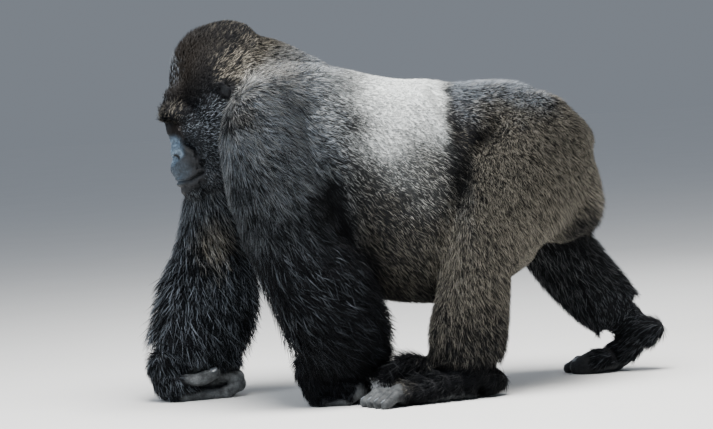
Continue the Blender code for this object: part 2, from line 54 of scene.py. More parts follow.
# %% [markdown]
# ## Landmarks
# The eyes and the ears are solids of their own, so the frame says where they are. The head's own
# frame starts midway between the ear holes: fore points out of the face, out to the side, up to
# the crest. A walking gorilla carries it pitched down, so places on the face are far easier to
# name in that frame. All other landmarks are given from the same point between the ear holes.

# %% The head's own frame
HEAD_PITCH = math.radians(36.5)
EYE_RADIUS = 0.0135
EYE_FORE, EYE_OUT, EYE_UP = 0.161, 0.036, 0.004
EAR_FORE, EAR_OUT, EAR_UP = 0.004, 0.121, 0.004
SIDES = (("left", -1), ("right", 1))


def head_turn(fore, out, up):
    """A direction of the head's frame, in the frame of the model."""
    cos, sin = math.cos(HEAD_PITCH), math.sin(HEAD_PITCH)
    return Vector((-fore * cos - up * sin, out, up * cos - fore * sin))


def middle_of(node):
    low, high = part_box(node)
    return (low + high) / 2


ear_holes = (middle_of("eye_left") + middle_of("eye_right")) / 2 - head_turn(EYE_FORE, 0, EYE_UP)
FLOOR = 0.0


def in_head(fore, out, up):
    """A point of the head's frame, in the frame of the model."""
    return ear_holes + head_turn(fore, out, up)


def from_ears(x, y, z):
    """A point given from between the ear holes, along the model's own axes."""
    return ear_holes + Vector((x, y, z))


print("between the ear holes:", tuple(round(c, 4) for c in ear_holes))

# %% [markdown]
# ## Clay
# A museum sculptor builds an animal from lumps of clay and smooths them into one another. Balls,
# rods and lofted tubes do that here: they only have to overlap, because a voxel remesh later wraps
# one closed surface round them all. It is quicker than pushing faces about, and any lump can still
# be moved by its numbers.


# %% Lumps of clay
def add_shape(clay, shape, place):
    """Copies a small shape into the clay at a place, then drops it."""
    mesh = bpy.data.meshes.new("lump")
    shape.to_mesh(mesh)
    shape.free()
    mesh.transform(place)
    clay.from_mesh(mesh)
    bpy.data.meshes.remove(mesh)


def ball(clay, centre, radii, turn=None, rings=20):
    """An ellipsoid. turn is a rotation matrix for its axes."""
    turn = turn.to_4x4() if turn is not None else Matrix.Identity(4)
    shape = bmesh.new()
    bmesh.ops.create_uvsphere(shape, u_segments=2 * rings, v_segments=rings, radius=1.0)
    add_shape(clay, shape, Matrix.Translation(centre) @ turn @ Matrix.Diagonal((*radii, 1.0)))


def rod(clay, start, end, start_radius, end_radius):
    """A tapered rod with round ends."""
    start, end = Vector(start), Vector(end)
    along = end - start
    shape = bmesh.new()
    bmesh.ops.create_cone(
        shape, cap_ends=True, segments=24, radius1=start_radius, radius2=end_radius, depth=along.length
    )
    turn = along.to_track_quat("Z", "Y").to_matrix().to_4x4()
    add_shape(clay, shape, Matrix.Translation((start + end) / 2) @ turn)
    ball(clay, start, (start_radius,) * 3, rings=12)
    ball(clay, end, (end_radius,) * 3, rings=12)


def chain(clay, points, radii):
    """Rods end to end, as in a bent finger."""
    for i in range(len(points) - 1):
        rod(clay, points[i], points[i + 1], radii[i], radii[i + 1])


def head_ball(clay, centre, radii, lean=0.0):
    """An ellipsoid in the head's frame. lean tips its front up."""
    ball(clay, in_head(*centre), radii, Matrix.Rotation(lean - HEAD_PITCH, 3, "Y"))


# %% [markdown]
# ## The head
# An old male's head is a mask of bare black skin set in a huge helmet of muscle, fat and hair. The
# crest is what the jaw muscles pull on. The masses below are those of the solid head, and the mask
# gets what the solid leaves out: the lips, the wings of the nose that flare over the nostrils, the
# bar of the brow, bags under the eyes, and the rims of the ears.


# %% Clay of the head
def head_masses(clay):
    head_ball(clay, (-0.012, 0, 0.080), (0.148, 0.072, 0.110))
    head_ball(clay, (0.080, 0, 0.066), (0.105, 0.074, 0.068), lean=math.radians(-22))
    for side in (-1, 1):
        head_ball(clay, (-0.004, side * 0.046, 0.040), (0.122, 0.072, 0.098))
        head_ball(clay, (0.122, side * 0.060, -0.020), (0.054, 0.033, 0.042))
        head_ball(clay, (0.128, side * 0.062, 0.026), (0.036, 0.026, 0.036))
        head_ball(clay, (0.085, side * 0.070, -0.085), (0.090, 0.044, 0.090))
        head_ball(clay, (0.030, side * 0.080, -0.030), (0.085, 0.040, 0.080))
    head_ball(clay, (0.108, 0, 0.080), (0.060, 0.074, 0.042))
    head_ball(clay, (0.136, 0, 0.066), (0.056, 0.072, 0.031))
    head_ball(clay, (0.128, 0, -0.030), (0.072, 0.064, 0.072))
    head_ball(clay, (0.120, 0, -0.150), (0.125, 0.080, 0.072))


def mask_of_the_face(clay):
    for side in (-1, 1):
        # The brow bar over each eye, which turns down at its outer end.
        head_ball(clay, (0.162, side * 0.034, 0.056), (0.035, 0.046, 0.022))
        head_ball(clay, (0.150, side * 0.062, 0.042), (0.028, 0.020, 0.022))
        # The wing of the nose: a broad pad over the nostril, thickest at its outer edge.
        head_ball(clay, (0.212, side * 0.030, -0.048), (0.022, 0.017, 0.021))
        head_ball(clay, (0.222, side * 0.022, -0.066), (0.020, 0.020, 0.012))
        # Cheek fold from the wing down to the corner of the mouth, and the bag under the eye.
        fold = ((0.186, 0.038, -0.030), (0.190, 0.048, -0.062), (0.186, 0.052, -0.096))
        chain(clay, [in_head(f, side * o, u) for f, o, u in fold], (0.012, 0.015, 0.016))
        head_ball(clay, (0.158, side * 0.040, -0.022), (0.022, 0.024, 0.012))
    head_ball(clay, (0.168, 0, 0.054), (0.033, 0.040, 0.022))
    head_ball(clay, (0.180, 0, 0.002), (0.028, 0.017, 0.054))
    chain(clay, [in_head(0.186, 0, 0.012), in_head(0.209, 0, -0.030)], (0.0165, 0.0180))
    head_ball(clay, (0.212, 0, -0.038), (0.024, 0.034, 0.021))
    head_ball(clay, (0.220, 0, -0.046), (0.020, 0.016, 0.024))
    # Upper lip, lower lip and chin.
    head_ball(clay, (0.196, 0, -0.082), (0.074, 0.064, 0.044))
    head_ball(clay, (0.203, 0, -0.110), (0.073, 0.061, 0.036))
    head_ball(clay, (0.204, 0, -0.140), (0.080, 0.055, 0.038))
    head_ball(clay, (0.236, 0, -0.154), (0.050, 0.044, 0.034))


def ear_clay(clay, side):
    """A small ear: a back plate, a rolled rim, an inner fold and a lobe."""
    turn = Matrix.Rotation(-HEAD_PITCH, 3, "Y") @ Matrix.Rotation(side * math.radians(24), 3, "Z")
    centre = in_head(EAR_FORE, side * EAR_OUT, EAR_UP)
    ball(clay, centre - turn @ Vector((-0.002, side * 0.004, 0)), (0.018, 0.0055, 0.027), turn)

    def rim_point(angle, wide, tall, lift):
        return centre + turn @ Vector((-math.cos(angle) * wide, side * lift, math.sin(angle) * tall))

    rim = [rim_point(math.radians(a), 0.0165, 0.0265, 0.003) for a in range(20, 300, 20)]
    chain(clay, rim, [0.0042] * len(rim))
    fold = [rim_point(math.radians(a), 0.0085, 0.0165, 0.002) for a in range(60, 250, 30)]
    chain(clay, fold, [0.0034] * len(fold))
    ball(clay, rim_point(math.radians(268), 0.008, 0.025, 0.001), (0.008, 0.005, 0.008), turn)
    ball(clay, rim_point(math.radians(-10), 0.015, 0.004, 0.002), (0.006, 0.005, 0.008), turn)


# %% [markdown]
# ## Fists and feet
# A gorilla walks on the middle bones of its fingers, with the fingertips folded back under the
# palm. The foot is flat and broad, with a big toe that stands off like a thumb. Each finger or toe
# is a chain of rods, thicker at the joints, laid from the wrist or the ankle. Both lists below
# start with the distances from the ear holes, so they follow the solids.

# %% Sizes of the fists and feet
FISTS = {
    "left": {
        "side": -1,
        "wrist": from_ears(0.223, -0.186, -0.731),
        "toe_in": math.radians(6),
        "length": 0.095,
    },
    "right": {
        "side": 1,
        "wrist": from_ears(-0.197, 0.155, -0.731),
        "toe_in": math.radians(14),
        "length": 0.166,
    },
}
FEET = {
    "left": {
        "side": -1,
        "ankle": from_ears(0.628, -0.240, -0.766),
        "toe_out": math.radians(18),
        "heel_lift": 0.0,
        "length": 0.240,
        "big_toe": (
            (0.100, -0.034, 0.068), (0.146, -0.056, 0.096),
            (0.190, -0.064, 0.102), (0.216, -0.062, 0.092),
        ),
    },
    "right": {
        "side": 1,
        "ankle": from_ears(1.096, 0.180, -0.743),
        "toe_out": math.radians(26),
        "heel_lift": 0.078,
        "length": 0.128,
        "big_toe": (
            (0.078, -0.034, 0.040), (0.106, -0.058, 0.034),
            (0.138, -0.064, 0.022), (0.158, -0.060, 0.019),
        ),
    },
}
FINGER_SPACING = 0.031
FINGER_RADII = (0.0185, 0.0200, 0.0200, 0.0180)
TOE_SPACING = 0.027
TOE_RADII = (0.0160, 0.0160, 0.0155, 0.0145)
FLAT_DEPTH = 0.004  # how far the floor flattens knuckles and soles
JOINT = 1.12  # a finger is this much thicker at its joints


# %% Clay of a fist
def fist_point(fist, fore, out, height):
    """A point ahead of the wrist, outwards from it and above the floor."""
    turn = Matrix.Rotation(fist["side"] * fist["toe_in"], 3, "Z")
    place = fist["wrist"] + turn @ Vector((-fore, fist["side"] * out, 0))
    return Vector((place.x, place.y, FLOOR + height))


def finger_points(fist, number):
    out = (number - 1.5) * FINGER_SPACING
    reach = 0.006 * (1.5 - abs(number - 1.5))
    tip = -fist["length"]
    radius = FINGER_RADII[number]
    return (
        fist_point(fist, 0.036 + reach, out, 0.075),
        fist_point(fist, 0.028 + reach, out, radius - FLAT_DEPTH),
        fist_point(fist, 0.042 + tip - reach, out, radius - FLAT_DEPTH),
        fist_point(fist, 0.006 + tip - reach, out, 0.034),
        fist_point(fist, 0.009 + tip - reach, out, 0.052),
        fist_point(fist, 0.058 + tip - reach, out, 0.062),
    )


def thumb_points(fist):
    inner = -1.5 * FINGER_SPACING - 0.028
    return (
        fist_point(fist, 0.016, inner + 0.016, 0.052),
        fist_point(fist, -0.036, inner, 0.056),
        fist_point(fist, -0.090, inner + 0.002, 0.074),
    )


def fist_clay(clay, fist):
    ball(clay, fist_point(fist, 0.030, 0, 0.095), (0.060, 0.064, 0.062))
    ball(clay, fist_point(fist, 0.036, 0, 0.058), (0.040, 0.062, 0.048))
    for number, radius in enumerate(FINGER_RADII):
        points = finger_points(fist, number)
        chain(clay, points, [radius * share for share in (1.05, 1.0, 0.96, 0.96, 0.96, 0.88)])
        for i in (1, 2, 3, 4):
            ball(clay, points[i], (radius * JOINT,) * 3, rings=12)
    ball(clay, fist_point(fist, -0.020, 0.004, 0.066), (0.070, 0.052, 0.046))
    ball(clay, fist_point(fist, -0.5 * fist["length"], 0.012, 0.044), (0.060, 0.048, 0.026))
    chain(clay, thumb_points(fist), (0.026, 0.021, 0.0165))


# %% Clay of a foot
def foot_point(foot, fore, out, height):
    """A point ahead of the ankle, out from it and above the sole, which slopes as the heel lifts."""
    slope = foot["heel_lift"] * max(0.0, 1 - (fore + 0.05) / foot["length"])
    turn = Matrix.Rotation(-foot["side"] * foot["toe_out"], 3, "Z")
    place = foot["ankle"] + turn @ Vector((-fore, foot["side"] * out, 0))
    return Vector((place.x, place.y, FLOOR + height + slope))


def toe_points(foot, number):
    out = 0.010 + (number - 1.5) * TOE_SPACING
    reach = 0.012 * (1.5 - number) / 1.5
    length = foot["length"]
    return (
        foot_point(foot, length - 0.020, out, 0.028),
        foot_point(foot, length + 0.026 + reach, out * 1.12, 0.031),
        foot_point(foot, length + 0.058 + reach, out * 1.18, TOE_RADII[number] - FLAT_DEPTH),
    )


def big_toe_points(foot):
    return [foot_point(foot, *point) for point in foot["big_toe"]]


def foot_clay(clay, foot):
    length = foot["length"]
    spine = (
        (-0.050, 0.000, 0.040, 0.036, 0.036),
        (-0.030, 0.000, 0.044, 0.048, 0.048),
        (0.14 * length, 0.003, 0.047, 0.052, 0.051),
        (0.30 * length, 0.004, 0.044, 0.054, 0.047),
        (0.46 * length, 0.006, 0.041, 0.056, 0.044),
        (0.62 * length, 0.007, 0.036, 0.057, 0.039),
        (0.76 * length, 0.008, 0.031, 0.058, 0.034),
        (0.90 * length, 0.008, 0.028, 0.056, 0.031),
    )
    along = foot_point(foot, 1, 0, 0) - foot_point(foot, 0, 0, 0)
    heading = Matrix.Rotation(math.atan2(along.y, along.x), 3, "Z")
    for fore, out, height, half_width, half_depth in spine:
        ball(clay, foot_point(foot, fore, out, height), (0.040, half_width, half_depth), heading)
    for number, radius in enumerate(TOE_RADII):
        points = toe_points(foot, number)
        chain(clay, points, (radius * 1.1, radius, radius * 0.95))
        ball(clay, points[1], (radius * JOINT,) * 3, rings=12)
    chain(clay, big_toe_points(foot), (0.036, 0.035, 0.031, 0.025))


# %% [markdown]
# ## One skin
# A real pelt has no seams, so the flesh must be one surface. The solids of the trunk and the limbs
# go into the clay as they are, swollen by a hair so that the thin cuts between them close. The
# voxel remesh turns it all into one closed surface of even small faces. Even faces are wasteful on
# the back and precious on the face, so a weighted decimation then keeps them only where bare skin
# shows, and the face gets one more subdivision for its folds.

# %% Wrap the clay
TRUNK_AND_LIMBS = [
    "neck", "chest", "belly", "rump",
    "upper_arm_left", "forearm_left", "upper_arm_right", "forearm_right",
    "thigh_left", "shin_left", "thigh_right", "shin_right",
]
HEAD_HANDS_FEET = [
    "head", "ear_left", "ear_right", "hand_left", "hand_right", "foot_left", "foot_right",
]
SWELL = 0.0007
VOXEL = 0.0030
SKIN_FACES = 150_000
DETAIL_PULL = 1e-7
LIMB_ENDS = {  # stations from the ear holes, each with its half width and half depth
    "arm_left": (
        (0.238, -0.204, -0.741, 0.070, 0.100),
        (0.212, -0.192, -0.781, 0.056, 0.070),
        (0.202, -0.187, -0.816, 0.048, 0.048),
    ),
    "arm_right": (
        (-0.175, 0.163, -0.741, 0.068, 0.100),
        (-0.204, 0.158, -0.781, 0.058, 0.076),
        (-0.220, 0.156, -0.816, 0.050, 0.054),
    ),
    "leg_left": (
        (0.608, -0.240, -0.741, 0.064, 0.088),
        (0.605, -0.240, -0.761, 0.060, 0.080),
        (0.613, -0.240, -0.806, 0.050, 0.066),
    ),
    "leg_right": (
        (1.034, 0.188, -0.685, 0.060, 0.076),
        (1.062, 0.185, -0.715, 0.054, 0.068),
        (1.084, 0.182, -0.741, 0.048, 0.060),
    ),
}


def add_solid(clay, node):
    """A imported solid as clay, swollen by a hair."""
    shape = bmesh.new()
    shape.from_mesh(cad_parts[node].data)
    bmesh.ops.remove_doubles(shape, verts=shape.verts, dist=1e-5)
    bmesh.ops.recalc_face_normals(shape, faces=shape.faces)
    for vertex in shape.verts:
        vertex.co += vertex.normal * SWELL
    add_shape(clay, shape, Matrix.Identity(4))


def limb_end(clay, stations, steps=5):
    """The wrist or the heel: a row of flat balls from the end of the limb's solid into the foot."""
    for start, end in zip(stations, stations[1:]):
        for share in np.linspace(0, 1, steps):
            x, y, z, half_width, half_depth = (1 - share) * np.array(start) + share * np.array(end)
            ball(clay, from_ears(x, y, z), (half_depth, half_width, 0.035))


def object_from(clay, name):
    bmesh.ops.recalc_face_normals(clay, faces=clay.faces)
    mesh = bpy.data.meshes.new(name)
    clay.to_mesh(mesh)
    clay.free()
    made = bpy.data.objects.new(name, mesh)
    bpy.context.scene.collection.objects.link(made)
    return made


def bake_modifiers(made):
    """Replaces the object's mesh by the one that its modifiers make."""
    graph = bpy.context.evaluated_depsgraph_get()
    graph.update()
    mesh = bpy.data.meshes.new_from_object(made.evaluated_get(graph))
    made.modifiers.clear()
    made.data = mesh


def read_all(items, name, width, kind=float):
    """One property of all the items, as an array with a row for each."""
    values = np.empty(len(items) * width, kind)
    items.foreach_get(name, values)
    return values.reshape(-1, width)


def vertex_places(mesh):
    return read_all(mesh.vertices, "co", 3)


def normals_of(mesh):
    return read_all(mesh.vertices, "normal", 3)


def set_places(mesh, places):
    mesh.vertices.foreach_set("co", places.ravel())
    mesh.update()


clay = bmesh.new()
for node in TRUNK_AND_LIMBS:
    add_solid(clay, node)
head_masses(clay)
mask_of_the_face(clay)
for _, side in SIDES:
    ear_clay(clay, side)
for fist in FISTS.values():
    fist_clay(clay, fist)
for foot in FEET.values():
    foot_clay(clay, foot)
for stations in LIMB_ENDS.values():
    limb_end(clay, stations)
skin = object_from(clay, "skin")
remesh = skin.modifiers.new("wrap", "REMESH")
remesh.mode = "VOXEL"
remesh.voxel_size = VOXEL
bake_modifiers(skin)
print("faces of the wrapped clay:", len(skin.data.polygons))

# %% [markdown]
# ## Where the skin is bare
# Several steps need to know how far a place is from the face, a palm or a sole, so that is worked
# out once, as soft spots: one inside a spot, falling to zero outside it.


# %% Soft spots
def smooth_step(values, start, end):
    share = np.clip((values - start) / (end - start), 0, 1)
    return share * share * (3 - 2 * share)


def to_head(places):
    """Places of the model in the head's frame, as fore, out and up."""
    cos, sin = math.cos(HEAD_PITCH), math.sin(HEAD_PITCH)
    away = places - np.array(ear_holes)
    fore = -away[:, 0] * cos - away[:, 2] * sin
    up = -away[:, 0] * sin + away[:, 2] * cos
    return np.stack([fore, away[:, 1], up], axis=1)


def soft_balls(places, balls, fade):
    """One inside any ball of (centre, radii), falling to zero over a share of its size."""
    found = np.zeros(len(places))
    for centre, radii in balls:
        away = np.linalg.norm((places - np.array(centre)) / np.array(radii), axis=1)
        found = np.maximum(found, 1 - smooth_step(away, 1 - fade, 1 + fade))
    return found


def both_sides(fore, out, up, radii):
    """The same ball left and right, in the head's frame."""
    return [((fore, side * out, up), radii) for _, side in SIDES]


def on_flanks(x, y, z, radii):
    """The same ball left and right, given from the ear holes along the model's axes."""
    return [(from_ears(x, side * y, z), radii) for _, side in SIDES]


MASK_BALLS = [
    ((0.240, 0, -0.060), (0.060, 0.060, 0.058)),
    ((0.262, 0, -0.105), (0.058, 0.062, 0.040)),
    ((0.190, 0, -0.010), (0.040, 0.050, 0.045)),
    *both_sides(0.180, 0.042, 0.004, (0.038, 0.030, 0.028)),
    *both_sides(0.208, 0.050, -0.076, (0.038, 0.026, 0.052)),
    *both_sides(0.222, 0.045, -0.122, (0.042, 0.026, 0.026)),
]


def on_ears(radii):
    return [(middle_of(f"ear_{name}"), radii) for name, _ in SIDES]


def fine_spots(places):
    """Where small forms show: the front of the head, the ears, the hands and the feet."""
    balls = [(in_head(0.17, 0, -0.04), (0.15, 0.12, 0.15)), *on_ears((0.045, 0.040, 0.045))]
    for fist in FISTS.values():
        balls.append((fist_point(fist, -fist["length"] / 2 + 0.02, 0, 0.02), (0.13, 0.10, 0.10)))
    for foot in FEET.values():
        balls.append((foot_point(foot, foot["length"] / 2 + 0.02, 0, 0.02), (0.22, 0.13, 0.10)))
    return soft_balls(places, balls, 0.15)


def add_group(made, name, weights):
    group = made.vertex_groups.new(name=name)
    weights = np.round(weights, 1)
    for weight in np.unique(weights):
        group.add(np.flatnonzero(weights == weight).tolist(), float(weight), "REPLACE")


def wander(places, size, seed):
    """A soft random field between about -1 and 1, for borders and tones that are never straight."""
    random = np.random.default_rng(seed)
    total = np.zeros(len(places))
    for _ in range(7):
        heading = random.normal(size=3)
        heading *= random.uniform(0.7, 1.6) / (size * np.linalg.norm(heading))
        total += np.sin(places @ heading * 2 * math.pi + random.uniform(0, 2 * math.pi))
    return total / 3.5


# %% Thin out what the coat will hide, and soften it
places = vertex_places(skin.data)
on_mask = soft_balls(to_head(places), MASK_BALLS, 0.15)
add_group(skin, "soft", np.maximum(1 - 0.85 * fine_spots(places), 0.6 * on_mask))
soften = skin.modifiers.new("soften", "SMOOTH")
soften.factor = 0.5
soften.iterations = 10
soften.vertex_group = "soft"
bake_modifiers(skin)
skin.vertex_groups.clear()
places = vertex_places(skin.data)
places[:, 2] = np.maximum(places[:, 2], FLOOR)
set_places(skin.data, places)
keep_all = soft_balls(to_head(places), MASK_BALLS, 0.25)
add_group(skin, "detail", np.minimum(1 - 0.7 * fine_spots(places), 1 - keep_all))
thin = skin.modifiers.new("thin out", "DECIMATE")
thin.ratio = SKIN_FACES / (2 * len(skin.data.polygons))
thin.vertex_group = "detail"
thin.vertex_group_factor = DETAIL_PULL
bake_modifiers(skin)
skin.vertex_groups.clear()
print("faces after thinning:", len(skin.data.polygons))

shape = bmesh.new()
shape.from_mesh(skin.data)
bmesh.ops.triangulate(shape, faces=shape.faces)
centres = to_head(np.array([face.calc_center_median() for face in shape.faces]))
on_mask = soft_balls(centres, MASK_BALLS, 0.12) > 0.5
shape.faces.ensure_lookup_table()
mask_edges = {edge for i in np.flatnonzero(on_mask) for edge in shape.faces[i].edges}
bmesh.ops.subdivide_edges(shape, edges=list(mask_edges), cuts=1, use_grid_fill=True)
bmesh.ops.triangulate(shape, faces=shape.faces)
shape.to_mesh(skin.data)
shape.free()
print("faces with a finer mask:", len(skin.data.polygons))

# %% [markdown]
# ## Lowering the skin under the coat
# The solids reach out to the tips of the coat, so wherever hair grows, the skin must sink by the
# depth of the hair that lies on it. Each place takes its depth from the solid that it belongs to,
# and the depths are blended across the borders by averaging over neighbours, the way heat spreads.

# %% Which solid each place belongs to
def solids_tree():
    """A search tree over all solids of flesh, with the solid that each of its faces belongs to."""
    corners, triangles, owners = [], [], []
    for number, node in enumerate(TRUNK_AND_LIMBS + HEAD_HANDS_FEET):
        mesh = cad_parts[node].data
        mesh.calc_loop_triangles()
        start = len(corners)
        corners += [v.co.copy() for v in mesh.vertices]
        for triangle in mesh.loop_triangles:
            triangles.append([start + i for i in triangle.vertices])
            owners.append(number)
    return BVHTree.FromPolygons(corners, triangles), np.array(owners)


tree, owners = solids_tree()
NODE_NAMES = TRUNK_AND_LIMBS + HEAD_HANDS_FEET
places = vertex_places(skin.data)
owner_of = np.array([owners[tree.find_nearest(Vector(place))[2]] for place in places])
counts = np.bincount(owner_of, minlength=len(NODE_NAMES))
print("skin corners by solid:", dict(zip(NODE_NAMES, counts.tolist())))


# %% Spreading values over the skin
def spread(values, edges, rounds, hold=None):
    """Averages values over neighbours. hold is how much each place keeps of its own value."""
    count = len(values)
    values = values.reshape(count, -1).astype(float)
    start = values.copy()
    neighbours = np.bincount(edges.ravel(), minlength=count)[:, None]
    for _ in range(rounds):
        total = np.zeros_like(values)
        for column in range(values.shape[1]):
            total[:, column] = np.bincount(edges[:, 0], values[edges[:, 1], column], count)
            total[:, column] += np.bincount(edges[:, 1], values[edges[:, 0], column], count)
        values = 0.5 * values + 0.5 * total / np.maximum(neighbours, 1)
        if hold is not None:
            values = hold[:, None] * start + (1 - hold[:, None]) * values
    return values


# %% [markdown]
# ## How the coat is combed
# The table gives, for each part of the body, how long the hair is, how high its tips stand off the
# skin, how unruly it is and which way the comb runs, and then how grizzled and how black the part
# is. The far leg is given less grizzle and more black than the near one, as painted shade. Hair is
# short on the saddle, the thighs and the near shin, and long and shaggy on the arms, where it hangs
# back over the hand. The comb is a direction in the air, and it is pressed on to the skin at each
# root. The head has none of its own, because its hair streams away from the nose.

# %% The coat by parts
#              length  depth   wild  comb                grizzle black
COAT = {
    "head": (0.018, 0.0070, 0.35, (0, 0, 0), 0.00, 0.0),
    "ear": (0.004, 0.0000, 0.30, (1, 0, 0), 0.00, 0.0),
    "neck": (0.026, 0.0100, 0.40, (0.80, 0, -0.60), 0.00, 0.0),
    "chest": (0.018, 0.0085, 0.35, (0.80, 0, -0.60), 0.34, 0.0),
    "belly": (0.015, 0.0075, 0.32, (0.80, 0, -0.60), 0.58, 0.0),
    "rump": (0.021, 0.0115, 0.42, (0.75, 0, -0.65), 0.95, 0.0),
    "upper_arm": (0.054, 0.0140, 0.42, (0.45, 0, -0.90), 0.00, 1.0),
    "forearm_left": (0.070, 0.0260, 0.65, (0.75, 0, -0.70), 0.00, 1.0),
    "forearm_right": (0.066, 0.0260, 0.75, (0.10, 0, -0.97), 0.00, 1.0),
    "hand": (0.034, 0.0080, 0.50, (0.35, 0, -0.95), 0.00, 1.0),
    "thigh_left": (0.022, 0.0125, 0.42, (0.35, 0, -0.92), 0.80, 0.0),
    # Painted shade: the far thigh and shin are given less grizzle and more black than the near ones, for
    # the shade they stand in.
    "thigh_right": (0.036, 0.0150, 0.50, (0.40, 0, -0.90), 0.40, 0.5),
    "shin_left": (0.024, 0.0105, 0.42, (0.30, 0, -0.95), 0.80, 0.0),
    "shin_right": (0.034, 0.0130, 0.45, (0.45, 0, -0.88), 0.15, 0.7),
    "foot": (0.034, 0.0075, 0.35, (-0.75, 0, -0.40), 0.14, 1.0),
}


def coat_of(node):
    """The settings of a part, for its own side or for both."""
    return COAT.get(node) or COAT[node.removesuffix("_left").removesuffix("_right")]


def flat_row(length, depth, wild, comb, grizzle, black_more_in_shade):
    return length, depth, wild, *comb, grizzle, black_more_in_shade


per_node = np.array([flat_row(*coat_of(node)) for node in NODE_NAMES])
edges = read_all(skin.data.edges, "vertices", 2, int)
settings = spread(per_node[owner_of], edges, 40)
hair_length, hair_depth, wildness = settings[:, 0], settings[:, 1], settings[:, 2]
comb, grizzle_less_in_shade = settings[:, 3:6], settings[:, 6]
black_more_in_shade = spread(settings[:, 7], edges, 80)[:, 0]


# %% Bare skin
def bare_skin(places):
    """One on the mask of the face, the ears, the fingers and the soles, zero under the coat."""
    local = to_head(places)
    bare = soft_balls(local + 0.004 * wander(local, 0.016, 7)[:, None], MASK_BALLS, 0.34)
    bare = np.maximum(bare, soft_balls(places, on_ears((0.011, 0.020, 0.017)), 0.2))
    near, far = FISTS["left"], FISTS["right"]
    palms = [
        (fist_point(near, 0.010 - near["length"] / 2, -0.010, 0.000), (0.100, 0.092, 0.030)),
        (fist_point(far, 0.020 - far["length"] / 2, -0.010, 0.010), (0.110, 0.092, 0.036)),
        (fist_point(far, 0.040 - far["length"], -0.020, 0.050), (0.088, 0.110, 0.062)),
        (fist_point(far, -0.050, -0.085, 0.080), (0.060, 0.040, 0.040)),
    ]
    for foot in FEET.values():
        palms.append((foot_point(foot, foot["length"] + 0.044, -0.010, 0.020), (0.086, 0.110, 0.075)))
        palms.append((foot_point(foot, foot["length"] / 2, 0, -0.020), (0.150, 0.080, 0.050)))
    return np.maximum(bare, soft_balls(places, palms, 0.15))


bare = bare_skin(places)
places -= normals_of(skin.data) * (hair_depth * (1 - bare))[:, None]
places = spread(places, edges, 12, hold=np.clip(fine_spots(places) * 1.2, 0, 1))
set_places(skin.data, places)
print("deepest coat:", round(float((hair_depth * (1 - bare)).max()) * 1000, 1), "mm")

# %% [markdown]
# ## Relief of the body
# Three lines catch the light on the flank of a walking male: the ridge of skin that is drawn from
# the loin to the hip, the furrow behind it, and the deep fold where the thigh swings forward
# against the belly. The skin is lifted or pressed in near them on both sides. The loin is raised a
# little, and the corner of the rump, the seat and the forehead are lowered, where the hair stands
# off the skin. The shoulders and the far ankle are smoothed, so that no joint of the solids shows.

# %% Ridges and folds of the body
FLANK_LINES = [  # places after one another on a line, from the ear holes, then width and lift
    (((0.505, -0.020), (0.545, -0.090), (0.590, -0.170)), 0.016, 0.014),
    (((0.540, -0.020), (0.585, -0.090), (0.622, -0.165)), 0.016, -0.012),
    (((0.710, -0.140), (0.628, -0.231), (0.577, -0.380), (0.549, -0.530)), 0.024, -0.012),
]


def off_the_line(places, line):
    """How far each place is from a line that is drawn on the side of the body."""
    flat = places[:, [0, 2]] - np.array(ear_holes)[[0, 2]]
    nearest = np.full(len(places), np.inf)
    for start, end in zip(np.array(line), np.array(line)[1:]):
        along = end - start
        share = np.clip((flat - start) @ along / (along @ along), 0, 1)
        nearest = np.minimum(nearest, np.linalg.norm(flat - start - share[:, None] * along, axis=1))
    return nearest


places, normals = vertex_places(skin.data), normals_of(skin.data)
outer = smooth_step(np.abs(normals[:, 1]), 0.15, 0.50)
for line, width, lift in FLANK_LINES:
    bump = np.exp(-((off_the_line(places, line) / width) ** 2)) * outer
    places += normals * (lift * bump)[:, None]
loin = soft_balls(places, [(from_ears(0.690, -0.020, 0.000), (0.170, 0.150, 0.060))], 0.6)
corner = soft_balls(places, [(from_ears(0.945, -0.020, -0.075), (0.100, 0.170, 0.075))], 0.6)
seat = soft_balls(places, [(from_ears(1.085, -0.020, -0.240), (0.110, 0.190, 0.130))], 0.6)
forehead = soft_balls(to_head(places), [((0.092, 0, 0.140), (0.070, 0.085, 0.070))], 0.8)
places += normals * (0.009 * loin - 0.016 * corner - 0.014 * seat - 0.006 * forehead)[:, None]
BENT_ANKLE = FEET["right"]["ankle"] + Vector((-0.060, 0, 0.052))
smoothed = on_flanks(0.150, 0.150, 0.010, (0.170, 0.110, 0.100))
smoothed.append((BENT_ANKLE, (0.085, 0.100, 0.075)))
places = spread(places, edges, 90, hold=1 - soft_balls(places, smoothed, 0.4))
set_places(skin.data, places)
print("lines on the flank:", len(FLANK_LINES))

# %% [markdown]
# ## Folds of the mask
# Lips, nostrils, lids and furrows are too fine for clay, so they are pressed into the finished skin
# by rules: each rule moves a corner along its normal by an amount that depends on where it lies in
# the head's frame. That is how a sculptor uses a tool on damp clay, and it keeps one clean surface.


# %% Press the folds in
def bump_at(away, width):
    """One on a line, falling to nothing a width or two away from it."""
    return np.exp(-((away / width) ** 2))


